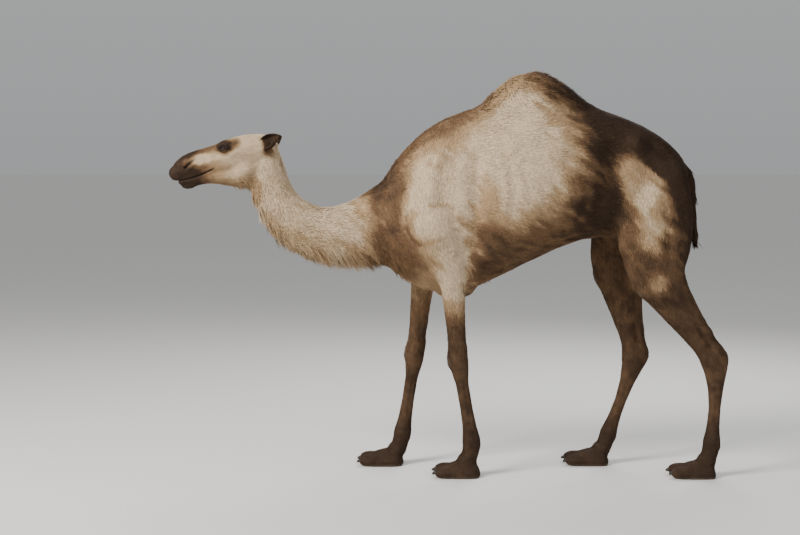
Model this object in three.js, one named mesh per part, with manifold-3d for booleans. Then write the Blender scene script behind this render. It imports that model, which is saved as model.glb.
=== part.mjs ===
// A dromedary camel in mid-stride, life size, as one still body parted into the pieces a person would name.
// Units are millimetres. +Z is up, the camel faces -Y, and +X is its left side.
// Each stretch of the body is a tube of shaped sections. The tubes are joined into one body, and thin flat
// cuts then part it into head, neck, trunk, hump and legs.
import * as THREE from 'three';
import { mergeVertices } from 'three/addons/utils/BufferGeometryUtils.js';
import Module from 'manifold-3d';

const wasm = await Module();
wasm.setup();

// ---------------------------------------------------------------- driving sizes
const GAP = 0.6; // left between neighbouring pieces
const TIDY = 2.5; // how far a triangle may stray from the joined surface
const FAR = 3000; // longer than the whole animal
const SIDES = { left: 1, right: -1 };

const HEAD_TILT = THREE.MathUtils.degToRad(15); // the muzzle hangs this much below level
const POLL = { y: -907, z: 1663 }; // where the head's own axes start, between the ears
const EYE = { forward: 238, up: 72, out: 69, radius: 23 };
const EAR = { forward: 62, up: 33, out: 62, length: 130, width: 66, depth: 40, wall: 6 };

const FOOT = { length: 244, width: 192, height: 88 };
const TOE_OUT = 0.24 * FOOT.width; // each toe's middle from the middle of the foot
const NAIL = { width: 36, length: 36, height: 26 };

const HUMP_CUT = 1896; // the hump is the part of the back above this level

// ---------------------------------------------------------------- solids
const solidOf = (geometry) => {
  const bare = geometry.clone();
  for (const name of ['normal', 'uv']) bare.deleteAttribute(name);
  const merged = mergeVertices(bare, 1e-4);
  return new wasm.Manifold(
    new wasm.Mesh({
      numProp: 3,
      vertProperties: new Float32Array(merged.attributes.position.array),
      triVerts: new Uint32Array(merged.index.array),
    }),
  );
};

const geometryOf = (solid) => {
  const { vertProperties, triVerts } = solid.getMesh();
  const geometry = new THREE.BufferGeometry();
  geometry.setAttribute('position', new THREE.BufferAttribute(new Float32Array(vertProperties), 3));
  geometry.setIndex(new THREE.BufferAttribute(new Uint32Array(triVerts), 1));
  geometry.computeVertexNormals();
  return geometry;
};

const join = (solids) => solids.reduce((all, one) => all.add(one));

// The same solid with fewer triangles, none straying further than the tolerance.
const simpler = (solid, tolerance) => solid.asOriginal().simplify(tolerance);

// The solid together with copies of it shifted by the gap along each axis.
const swollen = (solid) =>
  join([
    solid,
    ...[0, 1, 2].flatMap((axis) =>
      [-GAP, GAP].map((shift) => solid.translate([0, 1, 2].map((k) => (k === axis ? shift : 0)))),
    ),
  ]);

// The half of space in front of a plane, as a box larger than the animal.
const halfSpace = (point, normal) => {
  const direction = new THREE.Vector3(...normal).normalize();
  const box = new THREE.BoxGeometry(2 * FAR, 2 * FAR, FAR);
  box.translate(0, 0, FAR / 2);
  box.applyQuaternion(new THREE.Quaternion().setFromUnitVectors(new THREE.Vector3(0, 0, 1), direction));
  box.translate(...point);
  return solidOf(box);
};

const boxBetween = (low, high) => {
  const size = high.map((h, k) => h - low[k]);
  const box = new THREE.BoxGeometry(...size);
  box.translate(...low.map((l, k) => l + size[k] / 2));
  return solidOf(box);
};

// Parts a solid where a region's edge crosses it, leaving the gap. Returns [what is inside, what is left].
const part = (solid, region) => [solid.intersect(region), solid.subtract(swollen(region))];

// ---------------------------------------------------------------- tubes of shaped sections
// A smooth curve through a list of numbers, as a function of the place in the list, from 0 to its last index.
const through = (values) => {
  const curve = new THREE.CatmullRomCurve3(
    values.map((v, i) => new THREE.Vector3(i, v, 0)),
    false,
    'catmullrom',
    0.5,
  );
  return (place) => curve.getPoint(THREE.MathUtils.clamp(place / (values.length - 1), 0, 1)).y;
};

// One section: from its upper or front edge to its lower or back edge in the side view, its middle in X,
// half its width, how square it is (2 is an ellipse), and how much of its width sits towards the second edge.
const section = (first, second, half, { x = 0, square = 2, low = 0 } = {}) => ({
  values: [...first, ...second, half, x, square, low],
});

const shaped = (value, square) => Math.sign(value) * Math.abs(value) ** (2 / square);

// A closed tube through sections. A unit sphere's rings are carried along the sections, crowded towards both
// ends, and `caps` is the share of the tube that rounds off at each end.
const tube = (sections, { rings = 20, sides = 20, caps = [0.08, 0.08] } = {}) => {
  const tracks = sections[0].values.map((_, k) => through(sections.map((s) => s.values[k])));
  const sphere = new THREE.SphereGeometry(1, sides, rings);
  const position = sphere.attributes.position;
  for (let i = 0; i < position.count; i++) {
    const polar = THREE.MathUtils.clamp(position.getY(i), -1, 1);
    const ring = Math.hypot(position.getX(i), position.getZ(i));
    const turnCos = ring > 1e-6 ? position.getX(i) / ring : 1;
    const turnSin = ring > 1e-6 ? position.getZ(i) / ring : 0;
    const even = Math.acos(polar) / Math.PI;
    const along = even - Math.sin(2 * Math.PI * even) / 18;
    const [y1, z1, y2, z2, half, x, square, low] = tracks.map((track) => track(along * (sections.length - 1)));
    const fromEnd = Math.min(along / caps[0], (1 - along) / caps[1], 1);
    const cap = ring > 1e-6 ? Math.sqrt(1 - (1 - fromEnd) ** 2) : 0;
    const towardsFirst = shaped(turnCos, square) * cap;
    const out = shaped(turnSin, square) * cap * (1 - low * turnCos);
    position.setXYZ(
      i,
      x + half * out,
      (y1 + y2) / 2 + ((y1 - y2) / 2) * towardsFirst,
      (z1 + z2) / 2 + ((z1 - z2) / 2) * towardsFirst,
    );
  }
  const solid = solidOf(sphere);
  if (solid.volume() > 0) return solid;
  const index = sphere.index.array;
  for (let i = 0; i < index.length; i += 3) [index[i + 1], index[i + 2]] = [index[i + 2], index[i + 1]];
  return solidOf(sphere);
};

// Sections for a limb: joints in space, and girths as [place, front, back, half width, X shift], where place 1.4
// lies 40% of the way from joint 1 to joint 2, and front and back are measured square to the limb.
const limbSections = (joints, girths, grow = 0) => {
  const curve = new THREE.CatmullRomCurve3(
    joints.map((j) => new THREE.Vector3(...j)),
    false,
    'catmullrom',
    0.35,
  );
  return girths.map(([place, front, back, half, shift = 0, square = 2.1]) => {
    const t = place / (joints.length - 1);
    const centre = curve.getPoint(t);
    const tangent = curve.getTangent(t);
    const ahead = new THREE.Vector2(tangent.z, -tangent.y).normalize(); // square to the limb, in the side view
    return section(
      [centre.y + ahead.x * (front + grow), centre.z + ahead.y * (front + grow)],
      [centre.y - ahead.x * (back + grow), centre.z - ahead.y * (back + grow)],
      half + grow,
      { x: centre.x + shift, square },
    );
  });
};

const ball = (centre, radii, { detail = [14, 10], tilt = 0 } = {}) => {
  const sphere = new THREE.SphereGeometry(1, ...detail);
  sphere.scale(...radii);
  sphere.rotateX(tilt);
  sphere.translate(...centre);
  return solidOf(sphere);
};

// ---------------------------------------------------------------- trunk, hump and neck
const makeTrunk = () =>
  tube(
    [
      section([-392, 1420], [-380, 1150], 84),
      section([-335, 1545], [-328, 1060], 150, { low: 0.05 }),
      section([-215, 1700], [-205, 968], 202, { low: 0.08 }),
      section([-70, 1812], [-80, 926], 216, { square: 2.1, low: 0.12 }),
      section([100, 1880], [78, 930], 244, { square: 2.15, low: 0.16 }),
      section([290, 1915], [275, 1020], 282, { square: 2.2, low: 0.16 }),
      section([480, 1918], [470, 1116], 298, { square: 2.2, low: 0.12 }),
      section([680, 1893], [650, 1190], 274, { square: 2.15, low: 0.06 }),
      section([870, 1838], [800, 1212], 232, { square: 2.1 }),
      section([1050, 1752], [960, 1196], 206, { square: 2.1, low: -0.04 }),
      section([1176, 1642], [1110, 1205], 160, { square: 2.1, low: -0.04 }),
      section([1228, 1540], [1180, 1290], 92),
    ],
    { rings: 18, sides: 20, caps: [0.07, 0.07] },
  );

const makeHump = () =>
  tube(
    [
      section([112, 1868], [120, 1640], 60),
      section([200, 1936], [215, 1600], 118, { low: 0.2 }),
      section([284, 2010], [300, 1580], 156, { low: 0.28 }),
      section([360, 2054], [374, 1560], 178, { low: 0.32 }),
      section([442, 2065], [446, 1560], 188, { low: 0.32 }),
      section([524, 2038], [520, 1560], 188, { low: 0.3 }),
      section([596, 1984], [592, 1560], 178, { low: 0.26 }),
      section([676, 1922], [680, 1580], 158, { low: 0.2 }),
      section([790, 1866], [790, 1600], 124, { low: 0.1 }),
      section([950, 1798], [945, 1620], 70),
    ],
    { rings: 14, sides: 16 },
  );

const makeNeck = () =>
  tube(
    [
      section([-170, 1600], [-150, 1130], 120),
      section([-300, 1545], [-262, 1082], 130),
      section([-405, 1476], [-365, 1066], 118, { low: 0.05 }),
      section([-512, 1408], [-505, 1080], 100, { low: 0.05 }),
      section([-622, 1372], [-640, 1088], 88),
      section([-722, 1388], [-775, 1122], 80, { low: -0.04 }),
      section([-795, 1448], [-893, 1205], 76, { low: -0.06 }),
      section([-838, 1528], [-972, 1306], 75, { low: -0.06 }),
      section([-864, 1612], [-1016, 1400], 77),
      section([-896, 1690], [-1044, 1484], 72),
      section([-956, 1746], [-1076, 1560], 58),
    ],
    { rings: 22, sides: 18, caps: [0.05, 0.08] },
  );

// ---------------------------------------------------------------- head
// A point of the side view given in the head's own axes: forward to the muzzle and up to the forehead.
const inHead = (forward, up) => [
  POLL.y - forward * Math.cos(HEAD_TILT) - up * Math.sin(HEAD_TILT),
  POLL.z - forward * Math.sin(HEAD_TILT) + up * Math.cos(HEAD_TILT),
];
const headPoint = (forward, up, out = 0) => [out, ...inHead(forward, up)];
const headSection = (forward, top, bottom, half, shape) =>
  section(inHead(forward, top), inHead(forward, bottom), half, shape);
const headBall = (forward, up, out, radii, detail) =>
  ball(headPoint(forward, up, out), radii, { detail, tilt: HEAD_TILT });

const makeSkull = () =>
  tube(
    [
      headSection(-22, 52, -40, 50),
      headSection(14, 82, -70, 66, { low: -0.05 }),
      headSection(70, 104, -84, 74, { low: -0.1 }),
      headSection(140, 116, -84, 80, { low: -0.16 }),
      headSection(205, 117, -78, 84, { square: 2.2, low: -0.2 }),
      headSection(262, 110, -70, 76, { square: 2.2, low: -0.16 }),
      headSection(325, 104, -60, 60, { square: 2.2, low: -0.06 }),
      headSection(395, 104, -46, 53, { square: 2.3 }),
      headSection(460, 96, -34, 54, { square: 2.4 }),
      headSection(512, 72, -30, 50, { square: 2.3 }),
      headSection(544, 44, -24, 40),
    ],
    { rings: 20, sides: 16, caps: [0.08, 0.09] },
  );

const makeJaw = () =>
  tube(
    [
      headSection(96, -30, -112, 44),
      headSection(132, -24, -140, 62, { low: -0.1 }),
      headSection(190, -24, -146, 66, { low: -0.14 }),
      headSection(250, -20, -132, 60, { low: -0.12 }),
      headSection(318, -14, -100, 52),
      headSection(386, -14, -78, 45),
      headSection(446, -16, -76, 41, { square: 2.2 }),
      headSection(500, -20, -66, 29),
    ],
    { rings: 14, sides: 14, caps: [0.12, 0.1] },
  );

const makeFaceForms = () => [
  ...Object.values(SIDES).flatMap((side) => [
    headBall(228, 74, side * 53, [36, 66, 40], [12, 8]), // brow and socket of the eye
    headBall(172, -64, side * 46, [30, 78, 66], [10, 8]), // chewing muscle
    headBall(510, 16, side * 24, [33, 48, 44], [10, 8]), // half of the split upper lip
    headBall(452, 48, side * 32, [26, 48, 34], [10, 8]), // wing of the nostril
  ]),
  headBall(468, -55, 0, [33, 46, 27], [12, 8]), // hanging lower lip
];

// The jaw is parted from the head along the line of the mouth and the lower edge of the cheek.
const jawRegion = () =>
  halfSpace(headPoint(540, -26), headPoint(0, -1).map((v, k) => v - headPoint(0, 0)[k])).intersect(
    halfSpace(headPoint(300, 0), headPoint(1, -0.1).map((v, k) => v - headPoint(0, 0)[k])),
  );

// A cupped leaf with its hollow turned outwards and forwards.
const makeEar = (side) => {
  const leaf = (length, width, depth) => {
    const blade = new THREE.SphereGeometry(1, 8, 8);
    const position = blade.attributes.position;
    for (let i = 0; i < position.count; i++) {
      const height = (position.getY(i) + 1) / 2;
      const swell = 1.12 - 0.5 * height + 0.42 * Math.sin(Math.PI * height);
      position.setXYZ(
        i,
        (position.getX(i) * width * swell) / 2,
        (-position.getZ(i) * depth * swell) / 2,
        (height - 0.12) * length,
      );
    }
    return blade;
  };
  const shell = leaf(EAR.length, EAR.width, EAR.depth);
  const hollow = leaf(EAR.length - EAR.wall, EAR.width - 2 * EAR.wall, EAR.depth - EAR.wall);
  hollow.translate(0, -EAR.depth / 2.6, EAR.length * 0.1);
  const pose = new THREE.Matrix4().compose(
    new THREE.Vector3(...headPoint(EAR.forward, EAR.up, side * EAR.out)),
    new THREE.Quaternion().setFromEuler(new THREE.Euler(-0.98, side * 0.5, side * 0.5, 'YXZ')),
    new THREE.Vector3(1, 1, 1),
  );
  const [outer, inner] = [shell, hollow].map((g) => solidOf(g.applyMatrix4(pose)));
  return outer.subtract(inner);
};

const makeEye = (side, radius = EYE.radius) =>
  headBall(EYE.forward, EYE.up, side * EYE.out, [radius, radius, radius], [10, 8]);

// ---------------------------------------------------------------- legs
const FORE_GIRTHS = [
  [0.0, 60, 60, 44],
  [0.5, 118, 118, 62],
  [1.0, 150, 156, 76, 6],
  [1.55, 120, 122, 80, 8],
  [2.0, 92, 92, 72, 4],
  [2.2, 68, 68, 62],
  [2.45, 57, 57, 53],
  [2.7, 50, 51, 47],
  [2.86, 51, 51, 50],
  [3.0, 57, 53, 57, 0, 2.4],
  [3.12, 50, 50, 53, 0, 2.3],
  [3.32, 34, 36, 37],
  [3.66, 34, 38, 33],
  [3.86, 41, 46, 38],
  [4.04, 46, 53, 44],
  [4.3, 43, 47, 42],
  [5.0, 46, 44, 44],
];

const HIND_GIRTHS = [
  [0.0, 120, 120, 60],
  [0.35, 190, 186, 84, 4],
  [0.85, 206, 204, 92, 6],
  [1.4, 192, 192, 90, 5],
  [1.8, 166, 160, 82],
  [2.0, 142, 138, 74],
  [2.22, 116, 112, 64],
  [2.5, 88, 86, 54],
  [2.76, 66, 68, 45],
  [2.92, 64, 84, 45, 0, 2.3],
  [3.02, 66, 90, 45, 0, 2.3],
  [3.2, 52, 58, 40, 0, 2.3],
  [3.45, 34, 37, 32],
  [3.68, 32, 36, 31],
  [3.86, 37, 42, 35],
  [4.04, 44, 50, 42],
  [4.3, 42, 46, 40],
  [5.0, 45, 44, 43],
];

// Joints in order down the leg, each as [Y, Z]: shoulder blade, shoulder, elbow, knee, fetlock and the root of
// the foot for a foreleg, and hip, thigh, stifle, hock, fetlock and root of the foot for a hind leg.
const LEGS = {
  foreleg_left: {
    reach: [
      [-30, 1690],
      [-105, 1285],
      [-6, 1045],
      [34, 596],
      [98, 188],
      [82, 66],
    ],
    spread: [108, 176, 170, 158, 154, 154],
    footMiddle: 39,
    girdle: [760, 1.7],
    kneeCut: 2.8,
    girths: FORE_GIRTHS,
    side: SIDES.left,
  },
  foreleg_right: {
    reach: [
      [-50, 1690],
      [-135, 1285],
      [-136, 1045],
      [-184, 588],
      [-250, 182],
      [-276, 66],
    ],
    spread: [108, 176, 170, 158, 154, 154],
    footMiddle: -352,
    girdle: [760, 1.7],
    kneeCut: 2.8,
    girths: FORE_GIRTHS,
    side: SIDES.right,
  },
  hindleg_left: {
    reach: [
      [985, 1640],
      [1022, 1330],
      [1052, 1012],
      [1324, 590],
      [1322, 192],
      [1300, 66],
    ],
    spread: [112, 152, 168, 168, 166, 166],
    footMiddle: 1238,
    girdle: [1060, 2.1],
    kneeCut: 2.72,
    girths: HIND_GIRTHS,
    side: SIDES.left,
  },
  hindleg_right: {
    reach: [
      [965, 1640],
      [944, 1330],
      [900, 1012],
      [974, 580],
      [848, 182],
      [810, 66],
    ],
    spread: [112, 152, 168, 168, 166, 166],
    footMiddle: 738,
    girdle: [1060, 2.1],
    kneeCut: 2.72,
    girths: HIND_GIRTHS,
    side: SIDES.right,
  },
};

const jointsOf = ({ reach, spread, side }) => reach.map(([y, z], i) => [side * spread[i], y, z]);
const makeLeg = (leg, grow = 0) =>
  tube(limbSections(jointsOf(leg), leg.girths, grow), { rings: 25, sides: 12, caps: [0.04, 0.03] });

const footX = ({ spread, side }) => side * spread.at(-1);

// A broad cushion under two toes, with a cleft between them in front and the pastern coming down into it.
const makeFoot = (leg) => {
  const x = footX(leg);
  const middle = leg.footMiddle;
  const pastern = jointsOf(leg)[5][1];
  const pad = (share, top, width) =>
    section([middle + share * FOOT.length, top * FOOT.height], [middle + share * FOOT.length, -22], width * FOOT.width, {
      x,
      square: 2.3,
      low: 0.16,
    });
  const cushion = tube(
    [pad(-0.4, 0.5, 0.26), pad(-0.22, 0.76, 0.43), pad(0.04, 0.98, 0.46), pad(0.28, 0.9, 0.44), pad(0.46, 0.56, 0.34)],
    { rings: 8, sides: 12, caps: [0.16, 0.2] },
  );
  const toes = Object.values(SIDES).map((side) =>
    ball([x + side * TOE_OUT, middle - 0.27 * FOOT.length, 28], [47, 66, 36], { detail: [10, 6] }),
  );
  const ankle = tube(
    [
      section([pastern - 42, 122], [pastern + 42, 114], 40, { x }),
      section([pastern - 58, 84], [pastern + 50, 72], 52, { x }),
      section([middle - 46, 34], [middle + 88, 26], 66, { x }),
    ],
    { rings: 5, sides: 10, caps: [0.1, 0.1] },
  );
  const ground = boxBetween([x - FAR, middle - FAR, -FAR], [x + FAR, middle + FAR, 0]);
  return join([cushion, ankle, ...toes]).subtract(ground);
};

const makeNail = (leg, toe, grow = 0) => {
  const nail = new THREE.SphereGeometry(1, 8, 5);
  nail.scale(NAIL.width / 2 + grow, NAIL.length / 2 + grow, NAIL.height / 2 + grow);
  nail.rotateX(0.4);
  nail.translate(footX(leg) + toe * TOE_OUT, leg.footMiddle - 0.54 * FOOT.length, 27);
  return solidOf(nail);
};

// ---------------------------------------------------------------- tail and chest pad
const makeTail = () =>
  tube(
    [
      section([1184, 1616], [1150, 1570], 34),
      section([1230, 1572], [1186, 1532], 34),
      section([1258, 1505], [1210, 1486], 28),
      section([1266, 1425], [1222, 1420], 23),
      section([1267, 1345], [1226, 1345], 21),
      section([1272, 1270], [1228, 1270], 24),
      section([1278, 1215], [1236, 1215], 20),
      section([1272, 1180], [1248, 1180], 12),
    ],
    { rings: 12, sides: 8, caps: [0.08, 0.08] },
  );

const makeChestPad = () =>
  tube(
    [
      section([-70, 1000], [-90, 915], 60),
      section([0, 1000], [-10, 892], 82),
      section([80, 1000], [78, 898], 74),
      section([140, 1010], [148, 946], 46),
    ],
    { rings: 8, sides: 14, caps: [0.16, 0.16] },
  );

// ---------------------------------------------------------------- parting the body
// The plane between a leg and the body rises outwards from the armpit or the groin. Returns the space below it.
const belowGirdle = ({ side, girdle }, shift = 0) => {
  const [innerZ, rise] = girdle;
  return halfSpace([0, 0, innerZ + shift], [0, 0, -1].map((v, k) => (k === 0 ? side * rise : v)));
};

// Cuts square to the leg, just above the knee or hock and above the foot.
const cutAcross = (leg, place) => {
  const joints = jointsOf(leg).map((j) => new THREE.Vector3(...j));
  const curve = new THREE.CatmullRomCurve3(joints, false, 'catmullrom', 0.35);
  const t = place / (joints.length - 1);
  return halfSpace(curve.getPoint(t).toArray(), curve.getTangent(t).toArray());
};

const SKIN = new THREE.Color(0xb08a60);
const FINISHES = {
  coat: new THREE.MeshStandardMaterial({ color: SKIN, roughness: 0.9, metalness: 0 }),
  hump: new THREE.MeshStandardMaterial({ color: 0x7d5a3a, roughness: 0.95, metalness: 0 }),
  eye: new THREE.MeshStandardMaterial({ color: 0x1a100a, roughness: 0.1, metalness: 0 }),
  horn: new THREE.MeshStandardMaterial({ color: 0x2a211b, roughness: 0.5, metalness: 0 }),
  pad: new THREE.MeshStandardMaterial({ color: 0x5f4a3a, roughness: 0.95, metalness: 0 }),
};

const pieces = new Map(); // node name to [solid, material]

// Takes a leg out of the body: its upper end stays with the trunk and the rest fits against it.
const buildLegs = (body) => {
  let rest = body;
  for (const [name, leg] of Object.entries(LEGS)) {
    const limb = makeLeg(leg).add(simpler(makeFoot(leg), TIDY));
    const girdle = belowGirdle(leg);
    rest = rest.add(limb.subtract(girdle)).subtract(makeLeg(leg, GAP).intersect(belowGirdle(leg, GAP)));
    const lower = limb.intersect(girdle);
    const [belowKnee, upper] = part(lower, cutAcross(leg, leg.kneeCut));
    let [foot, shank] = part(belowKnee, cutAcross(leg, 4.55));
    for (const [toeName, toe] of Object.entries({ outer: leg.side, inner: -leg.side })) {
      foot = foot.subtract(makeNail(leg, toe, GAP));
      pieces.set(`nail_${name}_${toeName}`, [makeNail(leg, toe), FINISHES.horn]);
    }
    pieces.set(name, [upper, FINISHES.coat]);
    pieces.set(`${name}_shank`, [shank, FINISHES.coat]);
    pieces.set(`${name}_foot`, [foot, FINISHES.pad]);
  }
  return rest;
};

const buildHead = (body) => {
  // Everything in front of the slanting plane from the nape to the throat.
  const nape = headPoint(-30, 110);
  const throat = headPoint(92, -170);
  const along = throat.map((v, k) => v - nape[k]);
  const region = halfSpace(nape, [0, along[2], -along[1]]);
  let [head, rest] = part(body, region);
  for (const [name, side] of Object.entries(SIDES)) {
    head = head.subtract(makeEye(side, EYE.radius + GAP));
    pieces.set(`eye_${name}`, [makeEye(side), FINISHES.eye]);
    pieces.set(`ear_${name}`, [makeEar(side).subtract(swollen(head)), FINISHES.coat]);
  }
  const [jaw, skull] = part(head, jawRegion());
  pieces.set('head', [skull, FINISHES.coat]);
  pieces.set('lower_jaw', [jaw, FINISHES.coat]);
  return rest;
};

const buildBody = () => {
  const head = [makeSkull(), makeJaw(), ...makeFaceForms()];
  let rest = simpler(join([makeTrunk(), makeHump(), makeNeck(), makeChestPad(), ...head]), TIDY);
  pieces.set('tail', [makeTail().subtract(swollen(rest)), FINISHES.coat]);
  rest = buildLegs(rest);
  rest = buildHead(rest);
  let neck;
  let hump;
  [neck, rest] = part(rest, halfSpace([0, -372, 1270], [0, -1, -0.12]));
  [hump, rest] = part(rest, halfSpace([0, 0, HUMP_CUT], [0, 0, 1]));
  pieces.set('neck', [neck, FINISHES.coat]);
  pieces.set('hump', [hump, FINISHES.hump]);
  pieces.set('trunk', [rest, FINISHES.coat]);
};

// The largest of a solid's separate bodies.
const largest = (solid) => solid.decompose().sort((a, b) => b.volume() - a.volume())[0];

buildBody();
const camel = new THREE.Group();
for (const [name, [solid, material]] of pieces) {
  const mesh = new THREE.Mesh(geometryOf(simpler(largest(solid), GAP / 3)), material);
  mesh.name = name;
  camel.add(mesh);
}
// The origin is on the floor, below the middle of the camel's length and width.
const bounds = new THREE.Box3().setFromObject(camel, true);
const middle = bounds.getCenter(new THREE.Vector3());
camel.position.set(-middle.x, -middle.y, -bounds.min.z);

export default camel;
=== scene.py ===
"""A life-size dromedary camel in mid-stride: one continuous skin under a coat of solid hair tufts.

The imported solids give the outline. The flesh nodes are fused into one skin, which is shrunk by the depth of
the coat, refined on the head and feet, and given its folds, lids, lips and tendons. Tufts are then rooted
all over it. Everything is in metres. +Z is up, the camel faces -Y, and +X is its left side.
"""

import logging
import math
from collections.abc import Callable, Iterable
from dataclasses import dataclass, field, replace
from enum import Enum
from functools import partial

import bpy
import numpy as np
import openvdb
from mathutils import Euler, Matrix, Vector

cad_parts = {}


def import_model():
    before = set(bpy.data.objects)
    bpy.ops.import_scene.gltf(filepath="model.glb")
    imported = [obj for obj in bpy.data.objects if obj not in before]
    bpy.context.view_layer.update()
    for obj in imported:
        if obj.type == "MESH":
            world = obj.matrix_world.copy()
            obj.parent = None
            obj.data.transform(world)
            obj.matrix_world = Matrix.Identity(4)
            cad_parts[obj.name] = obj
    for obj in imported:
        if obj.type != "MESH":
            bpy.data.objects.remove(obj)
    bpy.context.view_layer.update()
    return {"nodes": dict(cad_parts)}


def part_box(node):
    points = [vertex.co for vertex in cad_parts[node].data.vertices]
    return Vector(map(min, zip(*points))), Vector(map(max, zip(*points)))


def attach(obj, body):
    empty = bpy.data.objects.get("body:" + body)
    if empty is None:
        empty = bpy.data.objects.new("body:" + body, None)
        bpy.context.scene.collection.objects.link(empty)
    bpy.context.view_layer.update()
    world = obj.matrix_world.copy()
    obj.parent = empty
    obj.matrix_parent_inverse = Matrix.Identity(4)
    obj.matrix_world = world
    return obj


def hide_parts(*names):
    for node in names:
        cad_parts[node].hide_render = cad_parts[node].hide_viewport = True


log = logging.getLogger("camel")
Array = np.ndarray
Piece = bpy.types.Object
Nodes = dict[str, Piece]
Pair = tuple[float, float]
Place = tuple[float, float, float]
Colour = tuple[float, float, float]
SIDES = {"left": 1, "right": -1}
BODY = "root"


# ---- small maths
def unit(vectors: Array) -> Array:
    """Vectors along the last axis, each divided by its own length."""
    return vectors / np.maximum(np.linalg.norm(vectors, axis=-1, keepdims=True), 1e-12)


def ramp(low: float, high: float, value: Array) -> Array:
    """0 below low and 1 above high (or the reverse when low is larger), with an S-shaped rise between."""
    share = np.clip((value - low) / (high - low), 0.0, 1.0)
    return share * share * (3.0 - 2.0 * share)


def bell(distance: Array, width: float) -> Array:
    """A bump that is 1 at distance 0 and fades as exp(-(distance / width)^2)."""
    return np.exp(-((distance / width) ** 2))


def distance(points: Array, places: Iterable[Array]) -> Array:
    """How far each point is from the nearest of several places."""
    return np.min([np.linalg.norm(points - place, axis=1) for place in places], axis=0)


def beside_line(points: Array, start: Array, end: Array) -> tuple[Array, Array]:
    """How far along a straight line each point is, from 0 to 1, and how far away from it."""
    axis = end - start
    share = np.clip((points - start) @ axis / (axis @ axis), 0.0, 1.0)
    return share, np.linalg.norm(points - (start + share[:, None] * axis), axis=1)


def full_turn(count: int) -> Array:
    """Angles evenly around a circle."""
    return np.linspace(0.0, 2.0 * np.pi, count + 1)[:-1]


def wobble(points: Array, cell: float, seed: int, size: int = 32) -> Array:
    """Smooth noise: random values on a lattice, blended with S-curves.

    Args:
        points: N x 3 places.
        cell: the lattice spacing.
        seed: picks the lattice's values.
        size: after how many cells the noise repeats.

    Returns:
        N values from -1 to 1.
    """
    lattice = np.random.default_rng(seed).uniform(-1.0, 1.0, (size, size, size))
    place = points / cell
    base = np.floor(place).astype(int)
    share = place - base
    share = share * share * (3.0 - 2.0 * share)
    total = np.zeros(len(points))
    for corner in np.ndindex(2, 2, 2):
        weight = np.prod(np.where(np.array(corner) == 1, share, 1.0 - share), axis=1)
        index = (base + corner) % size
        total += weight * lattice[index[:, 0], index[:, 1], index[:, 2]]
    return total


@dataclass(frozen=True)
class Stretch:
    """A straight length of the body, from one place to another, with its rough radius at both ends."""

    start: Place
    end: Place
    radii: Pair
    lie: Place

    def span(self) -> float:
        """The length of the stretch."""
        return float(np.linalg.norm(np.array(self.end) - np.array(self.start)))

    def around(self, points: Array) -> Array:
        """The angle of each point around the stretch, from -pi to pi, with 0 on the animal's left."""
        axis = unit(np.array(self.end) - np.array(self.start))
        offset = points - np.array(self.start)
        left = unit(np.array([1.0, 0.0, 0.0]) - axis[0] * axis)
        return np.arctan2(offset @ np.cross(axis, left), offset @ left)

    def near(self, points: Array) -> tuple[Array, Array]:
        """How near each point is.

        Args:
            points: N x 3 places.

        Returns:
            The distances divided by the body's radius there, and the shares of the way along the stretch.
        """
        share, away = beside_line(points, np.array(self.start), np.array(self.end))
        return away / (self.radii[0] + share * (self.radii[1] - self.radii[0])), share


class Region(Enum):
    """Parts of the body whose coat differs."""

    HEAD = 0
    NECK = 1
    TRUNK = 2
    HUMP = 3
    TAIL = 4
    UPPER_LEG = 5
    LOWER_LEG = 6
    FOOT = 7
    EAR = 8


@dataclass(frozen=True)
class Hair:
    """How the hair of a part of the body grows: sizes in metres, the lift as rise over length.

    depth is how far the skin lies inside the solids, which reach out to the tips of the coat.
    """

    length: float
    width: float
    lift: float
    spacing: float
    depth: float


HAIR = {
    Region.HEAD: Hair(0.013, 0.0019, 0.08, 0.003, 0.003),
    Region.NECK: Hair(0.034, 0.0042, 0.16, 0.0064, 0.008),
    Region.TRUNK: Hair(0.03, 0.0044, 0.11, 0.0068, 0.008),
    Region.HUMP: Hair(0.046, 0.005, 0.24, 0.0072, 0.008),
    Region.TAIL: Hair(0.03, 0.0034, 0.14, 0.0048, 0.007),
    Region.UPPER_LEG: Hair(0.027, 0.004, 0.085, 0.0064, 0.006),
    Region.LOWER_LEG: Hair(0.015, 0.0026, 0.035, 0.0043, 0.004),
    Region.FOOT: Hair(0.011, 0.0023, 0.04, 0.004, 0.002),
    Region.EAR: Hair(0.012, 0.0018, 0.1, 0.0028, 0.003),
}


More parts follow.
